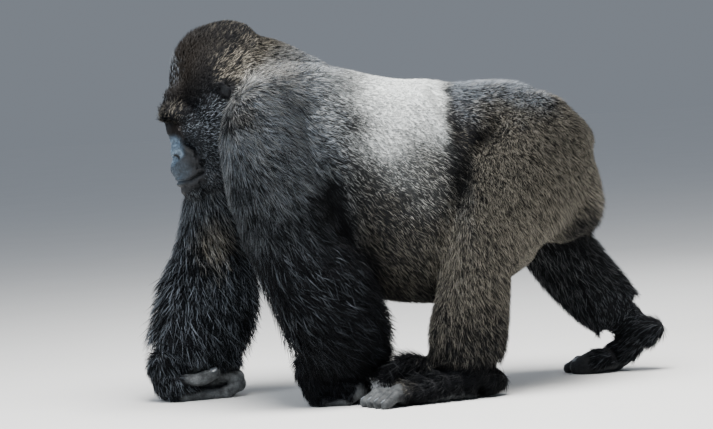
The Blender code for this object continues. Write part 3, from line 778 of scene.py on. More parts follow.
def folds_of_the_mask(local):
    """How far each corner of the face moves out, in metres."""
    fore, out, up = local[:, 0], np.abs(local[:, 1]), local[:, 2]
    moved = np.zeros(len(local))
    # The mouth: a groove that curves up to its corner, with a lip rolled out on either side of it.
    mouth_up = -0.101 - 0.022 * smooth_step(0.277 - fore, 0.0, 0.045)
    mouth_up -= 0.006 * smooth_step(0.235 - fore, 0, 0.045)
    on_muzzle = smooth_step(fore, 0.176, 0.192)
    moved -= 0.0058 * bump_at(up - mouth_up, 0.0028) * on_muzzle
    moved += 0.0018 * bump_at(up - mouth_up - 0.008, 0.0050) * on_muzzle
    moved += 0.0022 * bump_at(up - mouth_up + 0.009, 0.0060) * on_muzzle
    # Nostrils: oval pits that open forwards and out under the wing.
    lean = up + 0.051 + 0.35 * (out - 0.022)
    pit = np.sqrt(((out - 0.0245) / 0.0160) ** 2 + (lean / 0.0105) ** 2)
    moved -= 0.0150 * (1 - smooth_step(pit, 0.40, 1.10)) * smooth_step(fore, 0.200, 0.216)
    slot = np.sqrt(((fore - 0.229) / 0.0110) ** 2 + ((up + 0.050) / 0.0120) ** 2)
    moved -= 0.0070 * (1 - smooth_step(slot, 0.40, 1.10)) * smooth_step(out, 0.024, 0.032)
    # The slit between the wings, and the crease where the outer edge of each wing meets the cheek.
    moved -= 0.0030 * bump_at(out, 0.0030) * bump_at(up + 0.060, 0.016) * smooth_step(fore, 0.21, 0.23)
    ring = np.sqrt((out / 0.0470) ** 2 + ((up + 0.044) / 0.0330) ** 2)
    moved -= 0.0022 * bump_at(ring - 1, 0.085) * smooth_step(fore, 0.19, 0.205)
    # Furrows across the bridge and under the eyes, and fine creases down the upper lip.
    uneven = 1 + 0.6 * wander(local, 0.030, 3)
    across = up + 0.30 * out + 0.004 * wander(local, 0.040, 4)
    waves = np.sin(across * 2 * math.pi / 0.0075)
    moved += 0.00045 * uneven * waves * bump_at(up, 0.030) * bump_at(out, 0.030)
    lip = bump_at(up + 0.083, 0.012) * smooth_step(fore, 0.20, 0.23)
    moved += 0.00030 * uneven * np.sin((out + 0.002 * wander(local, 0.03, 5)) * 2 * math.pi / 0.0065) * lip
    around = np.sqrt((fore - 0.150) ** 2 + up**2) + 0.003 * wander(local, 0.035, 6)
    side = smooth_step(out, 0.024, 0.040) * bump_at(up + 0.026, 0.016)
    moved += 0.00060 * uneven * np.sin(around * 2 * math.pi / 0.0085) * side
    return moved


LID_GAP_UP, LID_GAP_DOWN = 0.0052, -0.0052
LID_HALF_WIDTH = 0.0120


def lids(places, side):
    """Sets the skin round one eye on a ball a little larger than it, and opens a slit for the eye."""
    eye = np.array(in_head(EYE_FORE, side * EYE_OUT, EYE_UP))
    local = to_head(places) - np.array([EYE_FORE, side * EYE_OUT, EYE_UP])
    # The eye looks ahead and a little outwards.
    yaw = side * math.radians(24)
    ahead = local[:, 0] * math.cos(yaw) + local[:, 1] * math.sin(yaw)
    across = -local[:, 0] * math.sin(yaw) + local[:, 1] * math.cos(yaw)
    up = local[:, 2]
    away = np.linalg.norm(local, axis=1)
    aside = np.sqrt(across**2 + up**2)
    near = (1 - smooth_step(aside, 0.0135, 0.0230)) * smooth_step(ahead, -0.006, 0.002)
    near *= 1 - smooth_step(away, 0.024, 0.032)
    curve = 1 - np.clip(across / LID_HALF_WIDTH, -1, 1) ** 2
    slit_up, slit_down = LID_GAP_UP * curve, LID_GAP_DOWN * curve
    open_share = np.minimum(slit_up - up, up - slit_down)
    in_slit = smooth_step(open_share, -0.0006, 0.0006)
    lid_edge = bump_at(open_share + 0.0016, 0.0016)
    wanted = EYE_RADIUS + 0.0018 + 0.0010 * lid_edge
    wanted = wanted * (1 - in_slit) + (EYE_RADIUS - 0.0035) * in_slit
    reach = np.where(near > 0, away + (wanted - away) * near, away)
    return eye + (places - eye) * (reach / np.maximum(away, 1e-6))[:, None]


places = vertex_places(skin.data)
local = to_head(places)
on_mask = soft_balls(local, MASK_BALLS, 0.15)
places += normals_of(skin.data) * (folds_of_the_mask(local) * on_mask)[:, None]
for _, side in SIDES:
    places = lids(places, side)
set_places(skin.data, places)
print("corners on the mask:", int((on_mask > 0.5).sum()))

# %% [markdown]
# ## Markings, painted sheen and painted shade
# A silverback is named for its saddle, a cape of silver hair from behind the shoulders to the hips.
# It starts softly, ends in a firm edge over the rump and fades down the flanks into black. Nape,
# rump, thighs and near shin are grizzled, dark hair with pale tips. The arms and the far leg are
# black, with a cool sheen of the sky painted on, and the crown has a rusty cap. Painted shade darkens
# the hair in the hollows round the thighs and in the armpits. Skin and coat read the same masks, so a
# gap between two tufts never shows.

# %% Masks of the markings, the painted sheen and the painted shade
SADDLE_FRONT, SADDLE_FULL, SADDLE_BACK = -0.340, 0.080, 0.150
SADDLE_LOW, SADDLE_HIGH = 0.360, 0.930
HOLLOWS = [  # the folds round the thigh and in the armpit, where no light reaches the hair
    (0.612, 0.245, -0.255, (0.038, 0.120, 0.085)),
    (0.672, 0.245, -0.158, (0.060, 0.120, 0.030)),
    (0.246, 0.250, -0.292, (0.050, 0.120, 0.058)),
    (0.236, 0.250, -0.296, (0.030, 0.120, 0.034)),
    (0.276, 0.250, -0.405, (0.026, 0.120, 0.075)),
    (0.335, 0.250, -0.515, (0.030, 0.120, 0.055)),
    (0.950, 0.120, -0.430, (0.080, 0.180, 0.070)),
]
NOSE_BALLS = [((0.218, 0, -0.038), (0.042, 0.050, 0.040))]
LIP_BALLS = [((0.245, 0, -0.085), (0.045, 0.060, 0.030))]
CROWN_BALLS = [((0.050, 0, 0.120), (0.120, 0.110, 0.080))]


def markings_and_painted_light(places, grizzle_less_in_shade, black_more_in_shade):
    """Silver, grizzle, painted sheen and rust at each place, from none, zero, to full, one; the first
    three also carry painted shade in the hollows.
    """
    x, y, z = places.T
    local = to_head(places)
    fore, out, up = local.T
    ragged = 0.030 * wander(places, 0.16, 1) + 0.012 * wander(places, 0.05, 2)
    black_more_in_shade = black_more_in_shade * (1 - smooth_step(z, 0.62, 0.78))
    ahead_of_flank = 1 - smooth_step(x, -0.16, -0.05)
    shoulder = ahead_of_flank * smooth_step(z + ragged, 0.42, 0.80)
    on_head = soft_balls(places, [(in_head(0.060, 0, 0.020), (0.200, 0.170, 0.200))], 0.15)
    patch = soft_balls(places, on_flanks(0.045, 0.215, -0.085, (0.050, 0.070, 0.042)), 0.6)
    # Silver: the saddle, a little thinner where the flank turns tawny.
    ahead = smooth_step(x + ragged, SADDLE_FRONT, SADDLE_FULL)
    edge = SADDLE_BACK + 0.06 * smooth_step(0.80 - z, 0.0, 0.30)
    behind = 1 - smooth_step(x + 0.6 * ragged, edge - 0.030, edge + 0.034)
    height = smooth_step(z + ragged, SADDLE_LOW, SADDLE_HIGH)
    silver = ahead * behind * (0.06 + 0.94 * height) * (1 - black_more_in_shade)
    # Grizzle: the back of the head from a line over the ear, the nape, the hips and the legs.
    hairline = 0.050 - 0.587 * (up - 0.007)
    nape = smooth_step(hairline - fore + 0.5 * ragged, -0.020, 0.060)
    nape *= 1 - smooth_step(x, -0.30, -0.10)
    nape *= smooth_step(z + ragged, 0.72, 0.90) * (1 - black_more_in_shade)
    nape *= 0.68 - 0.52 * smooth_step(up, 0.02, 0.11)
    legs = grizzle_less_in_shade * (0.40 + 0.60 * smooth_step(z + ragged, 0.10, 0.34))
    # Pale tips at the near knee are partly grizzle and partly a painted highlight on the lit front edge of
    # the thigh; the pale patch at the far elbow is painted light, for it lies in the body's shadow.
    knee_grizzle_and_highlight = soft_balls(places, [(from_ears(0.575, -0.255, -0.455), (0.050, 0.110, 0.090))], 0.6)
    elbow = soft_balls(places, [(from_ears(-0.086, 0.130, -0.410), (0.060, 0.085, 0.085))], 0.6)
    pale = np.maximum(np.maximum(nape, 0.95 * elbow), np.maximum(legs, knee_grizzle_and_highlight))
    grizzle = pale * (1 - 0.6 * silver)
    tawny = soft_balls(places, on_flanks(0.530, 0.260, -0.240, (0.075, 0.120, 0.090)), 0.7)
    silver *= 1 - 0.30 * tawny
    grizzle = np.maximum(grizzle, 0.60 * tawny)
    # Painted sheen: the cool blue-grey of the sky, painted on the hair that faces it, on the rump, the
    # shoulders and the limbs; the far arm and the far leg, which lie in shade, get more of it as painted
    # light.
    rump = smooth_step(x, 0.13, 0.18) * smooth_step(z + ragged, 0.70, 0.85)
    arm = ahead_of_flank * smooth_step(z + ragged, 0.06, 0.42)
    far_arm = ahead_of_flank * smooth_step(y, 0.06, 0.10) * (1 - smooth_step(z, 0.50, 0.65))
    far_leg = smooth_step(x, 0.20, 0.26) * smooth_step(y, 0.04, 0.08)
    far_leg *= 1 - smooth_step(z, 0.40, 0.55)
    shoulder_sheen = 0.62 * shoulder * (1 - 0.48 * on_head)
    sheen = 0.06 + 0.14 * arm + shoulder_sheen + 0.25 * far_arm + 0.18 * far_leg
    slate = np.maximum(rump, sheen)
    slate *= 1 - smooth_step(up, -0.02, 0.05) * (1 - smooth_step(x, -0.30, -0.20))
    # Painted sheen: a strip of sky reflection down the front of the forehead.
    forehead = smooth_step(up, 0.05, 0.10) * smooth_step(fore, 0.03, 0.09)
    slate = np.maximum(slate, 0.36 * forehead * (1 - smooth_step(np.abs(out), 0.015, 0.065)))
    slate *= 1 - 0.85 * patch
    # More grizzle: the shoulders, where it adds to the painted sheen, the brow, the instep of the near
    # foot and a patch by the neck.
    grizzle *= 1 - 0.7 * rump
    brow = soft_balls(local, both_sides(0.165, 0.040, 0.045, (0.050, 0.055, 0.032)), 0.5)
    near_instep = foot_point(FEET["left"], 0.215, 0.004, 0.050)
    instep = soft_balls(places, [(near_instep, (0.050, 0.075, 0.040))], 0.5)
    for amount in (0.30 * shoulder * (1 - on_head), 0.30 * brow, 0.60 * patch, 0.30 * instep):
        grizzle = np.maximum(grizzle, amount)
    # Rust: the crown, the same patch and the sockets of the eyes.
    sockets = soft_balls(local, both_sides(0.172, 0.036, 0.010, (0.045, 0.036, 0.032)), 0.4)
    rust = np.maximum.reduce([soft_balls(local, CROWN_BALLS, 0.5), 0.8 * patch, sockets])
    # Painted shade: the hair in the hollows, where no light reaches, is darkened, and so is the hair over
    # the ears.
    hollows = [ball for hollow in HOLLOWS for ball in on_flanks(*hollow)]
    lit = 1 - (0.72 + 0.20 * ahead_of_flank) * soft_balls(places, hollows, 0.6)
    lit *= 1 - 0.9 * soft_balls(places, on_ears((0.022, 0.030, 0.030)), 0.2)
    return silver * lit, grizzle * lit, slate * lit, rust


def add_colours(mesh, name, *channels):
    """Stores up to three masks on a mesh, one number of each per corner."""
    layer = mesh.attributes.new(name, "FLOAT_COLOR", "POINT")
    values = np.ones((len(mesh.vertices), 4), np.float32)
    for number, channel in enumerate(channels):
        values[:, number] = channel
    layer.data.foreach_set("color", values.ravel())


places = vertex_places(skin.data)
bare = bare_skin(places)
silver, grizzle, slate, rust = markings_and_painted_light(places, grizzle_less_in_shade, black_more_in_shade)
local = to_head(places)
# Painted sheen: the blue-grey on the nose, and more faintly on the upper lip, is the sky's reflection
# painted into the hide; the nostrils get none.
nose_sheen = np.maximum(soft_balls(local, NOSE_BALLS, 0.4), 0.35 * soft_balls(local, LIP_BALLS, 0.5))
nostrils = both_sides(0.226, 0.027, -0.053, (0.024, 0.015, 0.0095))
nostrils += both_sides(0.229, 0.038, -0.050, (0.0115, 0.016, 0.0125))
nose_sheen *= 1 - soft_balls(local, nostrils, 0.35)
add_colours(skin.data, "markings_and_painted_light", silver, grizzle, slate)
# The third channel of the bare mask is the painted sheen of the nose.
add_colours(skin.data, "bare", bare, rust, nose_sheen)
# Walking wears the bare hide pale, but not that of the face. Painted shade: the far foot and the near
# fist, which stay in shade, keep most of their dark hide.
LIMB_REACH = (0.30, 0.20, 0.20)
hands = [(fist["wrist"], LIMB_REACH) for fist in FISTS.values()]
worn_out_of_shade = bare * (1 - soft_balls(places, [(in_head(0.10, 0, 0), (0.25, 0.20, 0.25))], 0.2))
worn_out_of_shade *= 0.6 + 0.4 * soft_balls(places, hands, 0.2)
worn_out_of_shade *= 1 - 0.75 * soft_balls(places, [(FEET["right"]["ankle"], LIMB_REACH)], 0.2)
worn_out_of_shade *= 1 - 0.80 * soft_balls(places, [(FISTS["left"]["wrist"], (0.16, 0.12, 0.16))], 0.2)
add_colours(skin.data, "wear_out_of_shade", worn_out_of_shade)
masks = {"silver": silver, "grizzle": grizzle, "slate": slate, "rust": rust, "bare": bare}
for name, values in masks.items():
    print(name, "covers", round(float(values.mean()) * 100), "% of the corners")

# %% [markdown]
# ## A flat layout of the skin
# The coat is some 330,000 tufts, and each one needs a place of its own on a texture. The skin is
# unwrapped once, as a pelt would be laid out, and a tuft later takes a tiny patch round its root.

# %% Unwrap the skin
BAKE_MAP = "OFBake"
for made in bpy.context.selected_objects:
    made.select_set(False)
bpy.context.view_layer.objects.active = skin
skin.select_set(True)
skin.data.uv_layers.new(name=BAKE_MAP)
bpy.ops.object.mode_set(mode="EDIT")
bpy.ops.mesh.select_all(action="SELECT")
bpy.ops.uv.smart_project(angle_limit=math.radians(75), island_margin=0.002)
bpy.ops.object.mode_set(mode="OBJECT")
skin.data.calc_loop_triangles()
skin_triangles = read_all(skin.data.loop_triangles, "vertices", 3, int)
triangle_loops = read_all(skin.data.loop_triangles, "loops", 3, int)
flat_layout = read_all(skin.data.uv_layers[BAKE_MAP].data, "uv", 2)
print("triangles of the skin:", len(skin_triangles))

# %% [markdown]
# ## Tufts
# Hair curves would be the quick way, but the exported model can only hold faces. Hair curves would be
# the quick way, but each tuft here is a thin solid spike of faces: three corners at the root and one
# at the tip, and for long hair three more half way, where it bends over. A tuft starts on the skin,
# leans along the comb and ends at the height of the solid's surface. Whole pieces are worked out at
# once as arrays of numbers, which takes a second where a loop over hairs would take minutes.

# %% The parts of one tuft
LOCK_SIZE, SMALL_LOCK = 0.018, 0.009  # hair this close together draws into one lock
CELL_PRIMES = (73856093, 19349663, 83492791)  # they turn the three numbers of a cell into one key
SWAY_SEED, DRIFT_SEED, TONE_SEED = 50, 60, 70  # each random field of a piece has its own
SHORTER_ON_BARE, SHORTER_ON_VELVET = 0.75, 0.50
SINK = 0.0015  # how far a root sits under the skin
PATCH = 0.0030  # size of a tuft's place on the flat layout
SHORT_TUFT = {
    "rings": [(0.0, 1.0)],  # share of the length, share of the width
    "faces": [(0, 2, 3), (2, 1, 3), (1, 0, 3), (0, 1, 2)],
    "layout": [(-0.5, -0.5), (0.5, -0.5), (0.0, -0.4), (0.0, 0.5)],
}
LONG_TUFT = {
    "rings": [(0.0, 1.0), (0.45, 0.85)],
    "faces": [
        (0, 2, 5), (0, 5, 3), (2, 1, 4), (2, 4, 5), (1, 0, 3), (1, 3, 4), (0, 1, 2),
        (3, 5, 6), (5, 4, 6), (4, 3, 6),
    ],
    "layout": [
        (-0.5, -0.5), (0.5, -0.5), (0.0, -0.4), (-0.4, 0.0), (0.4, 0.0), (0.0, 0.1), (0.0, 0.5),
    ],
}


def unit(vectors):
    return vectors / np.maximum(np.linalg.norm(vectors, axis=1, keepdims=True), 1e-9)


def mesh_from_arrays(name, corners, triangles):
    """A mesh from whole arrays, which is far quicker than corner by corner."""
    mesh = bpy.data.meshes.new(name)
    mesh.vertices.add(len(corners))
    mesh.vertices.foreach_set("co", corners.astype(np.float32).ravel())
    mesh.loops.add(triangles.size)
    mesh.loops.foreach_set("vertex_index", triangles.astype(np.int32).ravel())
    mesh.polygons.add(len(triangles))
    mesh.polygons.foreach_set("loop_start", np.arange(0, triangles.size, 3, dtype=np.int32))
    mesh.update(calc_edges=True)
    return mesh


# %% What every root needs to know
places = vertex_places(skin.data)
normals = normals_of(skin.data)
corner_data = np.column_stack(
    [hair_length, hair_depth, wildness, comb, silver, grizzle, slate, rust, bare]
)
COMB_COLUMNS, MARK_COLUMNS, BARE_COLUMN = slice(3, 6), slice(6, 10), 10
first, second, third = places[skin_triangles].transpose(1, 0, 2)
triangle_areas = 0.5 * np.linalg.norm(np.cross(second - first, third - first), axis=1)
triangle_owner = owner_of[skin_triangles[:, 0]]
triangle_bare = bare[skin_triangles].mean(axis=1)
print("skin area:", round(float(triangle_areas.sum()), 2), "square metres")


def roots_on(nodes, count, random):
    """Roots spread evenly over the hairy skin of some solids."""
    numbers = [NODE_NAMES.index(node) for node in nodes]
    hairy = 1 - smooth_step(triangle_bare, 0.35, 0.75)
    share = triangle_areas * np.isin(triangle_owner, numbers) * hairy
    running = np.cumsum(share) / share.sum()
    picked = np.searchsorted(running, (np.arange(count) + random.random(count)) / count)
    picked = np.minimum(picked, len(running) - 1)
    one, two = random.random(count), random.random(count)
    over = one + two > 1
    one[over], two[over] = 1 - one[over], 1 - two[over]
    weights = np.stack([1 - one - two, one, two], axis=1)[:, :, None]
    corners = skin_triangles[picked]
    return {
        "place": (places[corners] * weights).sum(axis=1),
        "normal": unit((normals[corners] * weights).sum(axis=1)),
        "layout": (flat_layout[triangle_loops[picked]] * weights).sum(axis=1),
        "data": (corner_data[corners] * weights).sum(axis=1),
    }


# %% [markdown]
# The hair of the head is not combed one way: it streams away from the bridge of the nose, back over
# the crown and down the cheeks. On the top of the trunk it parts to both sides of the spine.


# %% The direction of the comb
def comb_at(roots):
    place, normal = roots["place"], roots["normal"]
    heading = roots["data"][:, COMB_COLUMNS].copy()
    from_nose = place - np.array(in_head(0.215, 0, 0.010))
    on_head = 1 - smooth_step(np.linalg.norm(heading, axis=1), 0.2, 0.8)
    heading += unit(from_nose) * on_head[:, None]
    on_shoulder = smooth_step(place[:, 2], 0.52, 0.74) * smooth_step(-place[:, 0], 0.12, 0.20)
    heading[:, 0] += 0.55 * (on_shoulder * (1 - on_head))
    spine = np.clip(normal[:, 2], 0, 1) * (1 - on_head)
    heading[:, 1] += 0.35 * spine * np.clip((place[:, 1] - ear_holes.y) / 0.040, -1, 1)
    heading -= normal * (heading * normal).sum(axis=1, keepdims=True)
    return unit(heading)


def shag_at(place, normal):
    """Extra length where the coat is ragged: rump, crest, brow, back, elbows, wrists and ankles."""
    local = to_head(place)
    behind = smooth_step(normal[:, 0], 0.25, 0.80) * smooth_step(place[:, 0], 0.30, 0.45)
    above_thigh = smooth_step(place[:, 2], 0.34, 0.44)
    rump_edge = 0.020 * behind * above_thigh * (1 - smooth_step(place[:, 2], 0.50, 0.62))
    crest = 0.010 * soft_balls(local, [((0.030, 0, 0.170), (0.070, 0.060, 0.030))], 0.5)
    brow = 0.005 * soft_balls(local, [((0.185, 0, 0.060), (0.030, 0.060, 0.022))], 0.5)
    top = [(from_ears(0.700, -0.020, 0.010), (0.160, 0.140, 0.050))]
    elbows = on_flanks(0.290, 0.190, -0.480, (0.060, 0.080, 0.120))
    elbow = 0.012 * soft_balls(place, elbows, 0.5) * smooth_step(normal[:, 0], 0.2, 0.8)
    above_wrist, above_ankle = Vector((0, 0, 0.058)), Vector((0, 0, 0.020))
    wrists = [(fist["wrist"] + above_wrist, (0.130, 0.130, 0.062)) for fist in FISTS.values()]
    ankles = [(foot["ankle"] + above_ankle, (0.090, 0.090, 0.045)) for foot in FEET.values()]
    wrist = 0.022 * soft_balls(place, wrists, 0.5) + 0.007 * soft_balls(place, ankles, 0.5)
    big_toe = [(foot_point(FEET["left"], 0.175, -0.050, 0.085), (0.085, 0.060, 0.050))]
    instep = 0.026 * soft_balls(place, big_toe, 0.4)
    back_top = 0.009 * soft_balls(place, top, 0.5)
    return np.maximum.reduce([rump_edge, crest, brow, back_top, elbow, wrist, instep])


VELVET_BALLS = [
    *both_sides(0.150, 0.055, -0.060, (0.085, 0.050, 0.095)),
    ((0.215, 0, -0.140), (0.085, 0.070, 0.055)),
    ((0.150, 0, -0.190), (0.120, 0.100, 0.070)),
]


def close_at(place):
    """Where the hair is short: the muzzle, cheeks and chin, and the bent far ankle."""
    ankle = [(BENT_ANKLE, (0.075, 0.100, 0.065))]
    return np.maximum(
        soft_balls(to_head(place), VELVET_BALLS, 0.5), 1.3 * soft_balls(place, ankle, 0.5)
    )


def locks_of(place, size, seed):
    """The lock that each tuft belongs to: the cells of a grid that drifts, so no row shows."""
    drift = [wander(place, 0.05, seed + DRIFT_SEED + axis) for axis in range(3)]
    cell = np.floor(place / size + 0.5 * np.stack(drift, axis=1)).astype(int)
    key = np.bitwise_xor.reduce(cell * np.array(CELL_PRIMES), axis=1)
    return np.unique(key, return_inverse=True)[1]


def tuft_corners(roots, tip, aside, broad, stand, rings):
    """The corners of all tufts: three for each ring along the hair, and one at the tip."""
    place, normal = roots["place"], roots["normal"]
    layers = []
    for along, breadth in rings:
        centre = place + (tip - place) * along - normal * SINK * (1 - along)
        if along:
            centre += normal * (0.28 * stand)[:, None]
        half = (broad * breadth / 2)[:, None]
        layers += [centre + aside * half, centre - aside * half, centre + normal * half * 0.7]
    corners = np.stack([*layers, tip], axis=1)
    corners[:, :, 2] = np.maximum(corners[:, :, 2], FLOOR)
    return corners


def coat_mesh(name, corners, roots, tuft, tone):
    """The tufts as one mesh, with their masks and their patches on the flat layout."""
    count, per_tuft = corners.shape[:2]
    pattern = np.array(tuft["faces"])
    triangles = (np.arange(count)[:, None, None] * per_tuft + pattern[None]).reshape(-1, 3)
    mesh = mesh_from_arrays(name, corners.reshape(-1, 3), triangles)
    marks = np.repeat(roots["data"][:, MARK_COLUMNS], per_tuft, axis=0)
    silver, grizzle, slate, rust = marks.T
    add_colours(mesh, "markings_and_painted_light", silver, grizzle, slate)
    along = np.tile([ring[0] for ring in tuft["rings"] for _ in range(3)] + [1.0], count)
    add_colours(mesh, "hair", along, np.repeat(tone, per_tuft), rust)
    patch = roots["layout"][:, None, :] + np.array(tuft["layout"])[None] * PATCH
    flat = patch.reshape(-1, 2)[triangles.ravel()].astype(np.float32)
    mesh.uv_layers.new(name=BAKE_MAP)
    mesh.uv_layers[BAKE_MAP].data.foreach_set("uv", flat.ravel())
    return mesh


# %% How one piece of coat grows
def grow(name, nodes, count, width, tuft, clump, lock, seed):
    """One piece of coat: tufts on the skin over some of the solids, drawn together in locks."""
    random = np.random.default_rng(seed)
    roots = roots_on(nodes, count, random)
    place, normal, data = roots["place"], roots["normal"], roots["data"]
    length, depth, wild = data[:, 0], data[:, 1], data[:, 2]
    short = (1 - SHORTER_ON_BARE * data[:, BARE_COLUMN]) * (1 - SHORTER_ON_VELVET * close_at(place))
    length = length * short * random.uniform(0.65, 1.15, count)
    forward = comb_at(roots)
    aside = unit(np.cross(forward, normal))
    streams = wander(place, 0.045, seed + SWAY_SEED)
    sway = wild * (0.55 * streams + 0.75 * random.normal(size=count))
    forward = unit(forward + aside * sway[:, None])
    aside = unit(np.cross(forward, normal))
    stand = depth * short * (0.85 + 0.45 * wild * random.normal(size=count))
    stand = np.clip(stand, 0.0008, 1.6 * depth + 0.001)
    broad = width * random.uniform(0.7, 1.25, count)
    shag = shag_at(place, normal) * random.uniform(0.2, 1.0, count)
    length += 1.3 * shag
    stand += shag
    tip = place + forward * length[:, None] + normal * stand[:, None]
    tip[:, 2] -= 0.15 * wild * length
    # The tips of a lock are drawn towards their middle, and a lock has one tone of its own.
    group = locks_of(place, lock, seed)
    size = np.bincount(group)[:, None]
    middle = np.stack([np.bincount(group, tip[:, i]) for i in range(3)], axis=1) / size
    tip += (middle[group] - tip) * (clump * random.uniform(0.4, 1.0, count))[:, None]
    tip[:, 2] = np.maximum(tip[:, 2], FLOOR + 0.001)
    broad_tone = 0.5 + 0.5 * wander(place, 1.2 * lock, seed + TONE_SEED)
    lock_tone = 0.6 * random.random(len(size))[group] + 0.4 * broad_tone
    tone = np.argsort(np.argsort(0.60 * random.random(count) + 0.40 * lock_tone)) / count

    corners = tuft_corners(roots, tip, aside, broad, stand, tuft["rings"])
    made = bpy.data.objects.new(name, coat_mesh(name, corners, roots, tuft, tone))
    bpy.context.scene.collection.objects.link(made)
    print(name, "has", len(made.data.polygons), "triangles")
    return made


# %% Grow all pieces of the coat
FIRST_SEED = 11
COAT_PIECES = [  # solids, tufts, width of a tuft, its parts, pull into locks, size of a lock
    ("head", ["head", "ear_left", "ear_right"], 34000, 0.0020, SHORT_TUFT, 0.35, SMALL_LOCK),
    ("neck", ["neck"], 20000, 0.0022, SHORT_TUFT, 0.35, SMALL_LOCK),
    ("chest", ["chest"], 44000, 0.0021, SHORT_TUFT, 0.35, SMALL_LOCK),
    ("belly", ["belly"], 36000, 0.0021, SHORT_TUFT, 0.35, SMALL_LOCK),
    ("rump", ["rump"], 38000, 0.0023, SHORT_TUFT, 0.22, SMALL_LOCK),
    ("upper_arm_left", ["upper_arm_left"], 28000, 0.0023, SHORT_TUFT, 0.35, LOCK_SIZE),
    ("upper_arm_right", ["upper_arm_right"], 16000, 0.0024, SHORT_TUFT, 0.35, LOCK_SIZE),
    ("forearm_left", ["forearm_left", "hand_left"], 15000, 0.0025, LONG_TUFT, 0.45, LOCK_SIZE),
    ("forearm_right", ["forearm_right", "hand_right"], 14000, 0.0025, LONG_TUFT, 0.45, LOCK_SIZE),
    ("thigh_left", ["thigh_left"], 30000, 0.0023, SHORT_TUFT, 0.22, SMALL_LOCK),
    ("thigh_right", ["thigh_right"], 14000, 0.0024, SHORT_TUFT, 0.35, SMALL_LOCK),
    ("shin_left", ["shin_left", "foot_left"], 22500, 0.0023, SHORT_TUFT, 0.22, SMALL_LOCK),
    ("shin_right", ["shin_right", "foot_right"], 20000, 0.0023, SHORT_TUFT, 0.25, SMALL_LOCK),
]
coat = [
    grow(f"coat_{part}", *row, FIRST_SEED + number)
    for number, (part, *row) in enumerate(COAT_PIECES)
]
print("triangles of the coat:", sum(len(piece.data.polygons) for piece in coat))

# %% [markdown]
# ## Finishes
# The markings, with the painted sheen and painted shade on them, become colours in one node group
# that skin and coat share. A hair is dark at its root, so the masks count for most towards the tips,
# and each tuft draws its own tone: that is what makes grizzled fur look like salt and pepper and not
# like grey paint.


# %% Helpers for node trees
def group_of(name, inputs, outputs):
    tree = bpy.data.node_groups.new(name, "ShaderNodeTree")
    for socket, kind in inputs:
        tree.interface.new_socket(socket, in_out="INPUT", socket_type=kind)
    for socket, kind in outputs:
        tree.interface.new_socket(socket, in_out="OUTPUT", socket_type=kind)
    return tree, tree.nodes.new("NodeGroupInput"), tree.nodes.new("NodeGroupOutput")


def feed(tree, socket, value):
    """Gives a socket a number, a colour or the output of another node."""
    if isinstance(value, (int, float)):
        socket.default_value = value
    elif isinstance(value, tuple):
        socket.default_value = (*value, 1.0)
    else:
        tree.links.new(value, socket)


def maths(tree, operation, *values, clamp=False):
    node = tree.nodes.new("ShaderNodeMath")
    node.operation, node.use_clamp = operation, clamp
    for socket, value in zip(node.inputs, values):
        feed(tree, socket, value)
    return node.outputs[0]


def scaled(tree, value, factor, offset, clamp=False):
    return maths(tree, "MULTIPLY_ADD", value, factor, offset, clamp=clamp)


def times(tree, one, two, clamp=False):
    return maths(tree, "MULTIPLY", one, two, clamp=clamp)


def blend_colours(tree, share, one, two):
    node = tree.nodes.new("ShaderNodeMix")
    node.data_type = "RGBA"
    for number, value in ((0, share), (6, one), (7, two)):
        feed(tree, node.inputs[number], value)
    return node.outputs[2]


def noise(tree, size, detail=3.0, stretch=None):
    """A noise over the model itself, with features of about this size in metres."""
    where = tree.nodes.new("ShaderNodeTexCoord").outputs["Object"]
    if stretch:
        mapping = tree.nodes.new("ShaderNodeMapping")
        mapping.inputs["Scale"].default_value = stretch
        tree.links.new(where, mapping.inputs["Vector"])
        where = mapping.outputs[0]
    node = tree.nodes.new("ShaderNodeTexNoise")
    node.inputs["Scale"].default_value = 1 / size
    node.inputs["Detail"].default_value = detail
    tree.links.new(where, node.inputs["Vector"])
    return node.outputs["Fac"]


def mask(tree, name):
    """The three channels of a mask that is stored on the mesh."""
    attribute = tree.nodes.new("ShaderNodeAttribute")
    attribute.attribute_name = name
    split = tree.nodes.new("ShaderNodeSeparateColor")
    tree.links.new(attribute.outputs["Color"], split.inputs[0])
    return split.outputs


# %% The colours of the coat, from its masks
BLACK_HAIR = (0.0030, 0.0033, 0.0042)
SILVER_HAIR = (0.800, 0.835, 0.825)
# Painted sheen: the blue-grey of the sky, painted on the tips of the hair that faces it.
PAINTED_SHEEN_TIP = (0.325, 0.372, 0.430)
PALE_TIP = (0.350, 0.320, 0.260)
RUST_HAIR = (0.0030, 0.0018, 0.0010)


def share_of_tufts(tree, mask_value, tone, coverage, rest):
    """How far a tuft takes a colour: the first to take it are those of the lowest tone."""
    chance = maths(tree, "SUBTRACT", times(tree, mask_value, coverage), tone)
    taken = scaled(tree, chance, 5.0, 0.5, clamp=True)
    return maths(tree, "MAXIMUM", taken, times(tree, mask_value, rest))


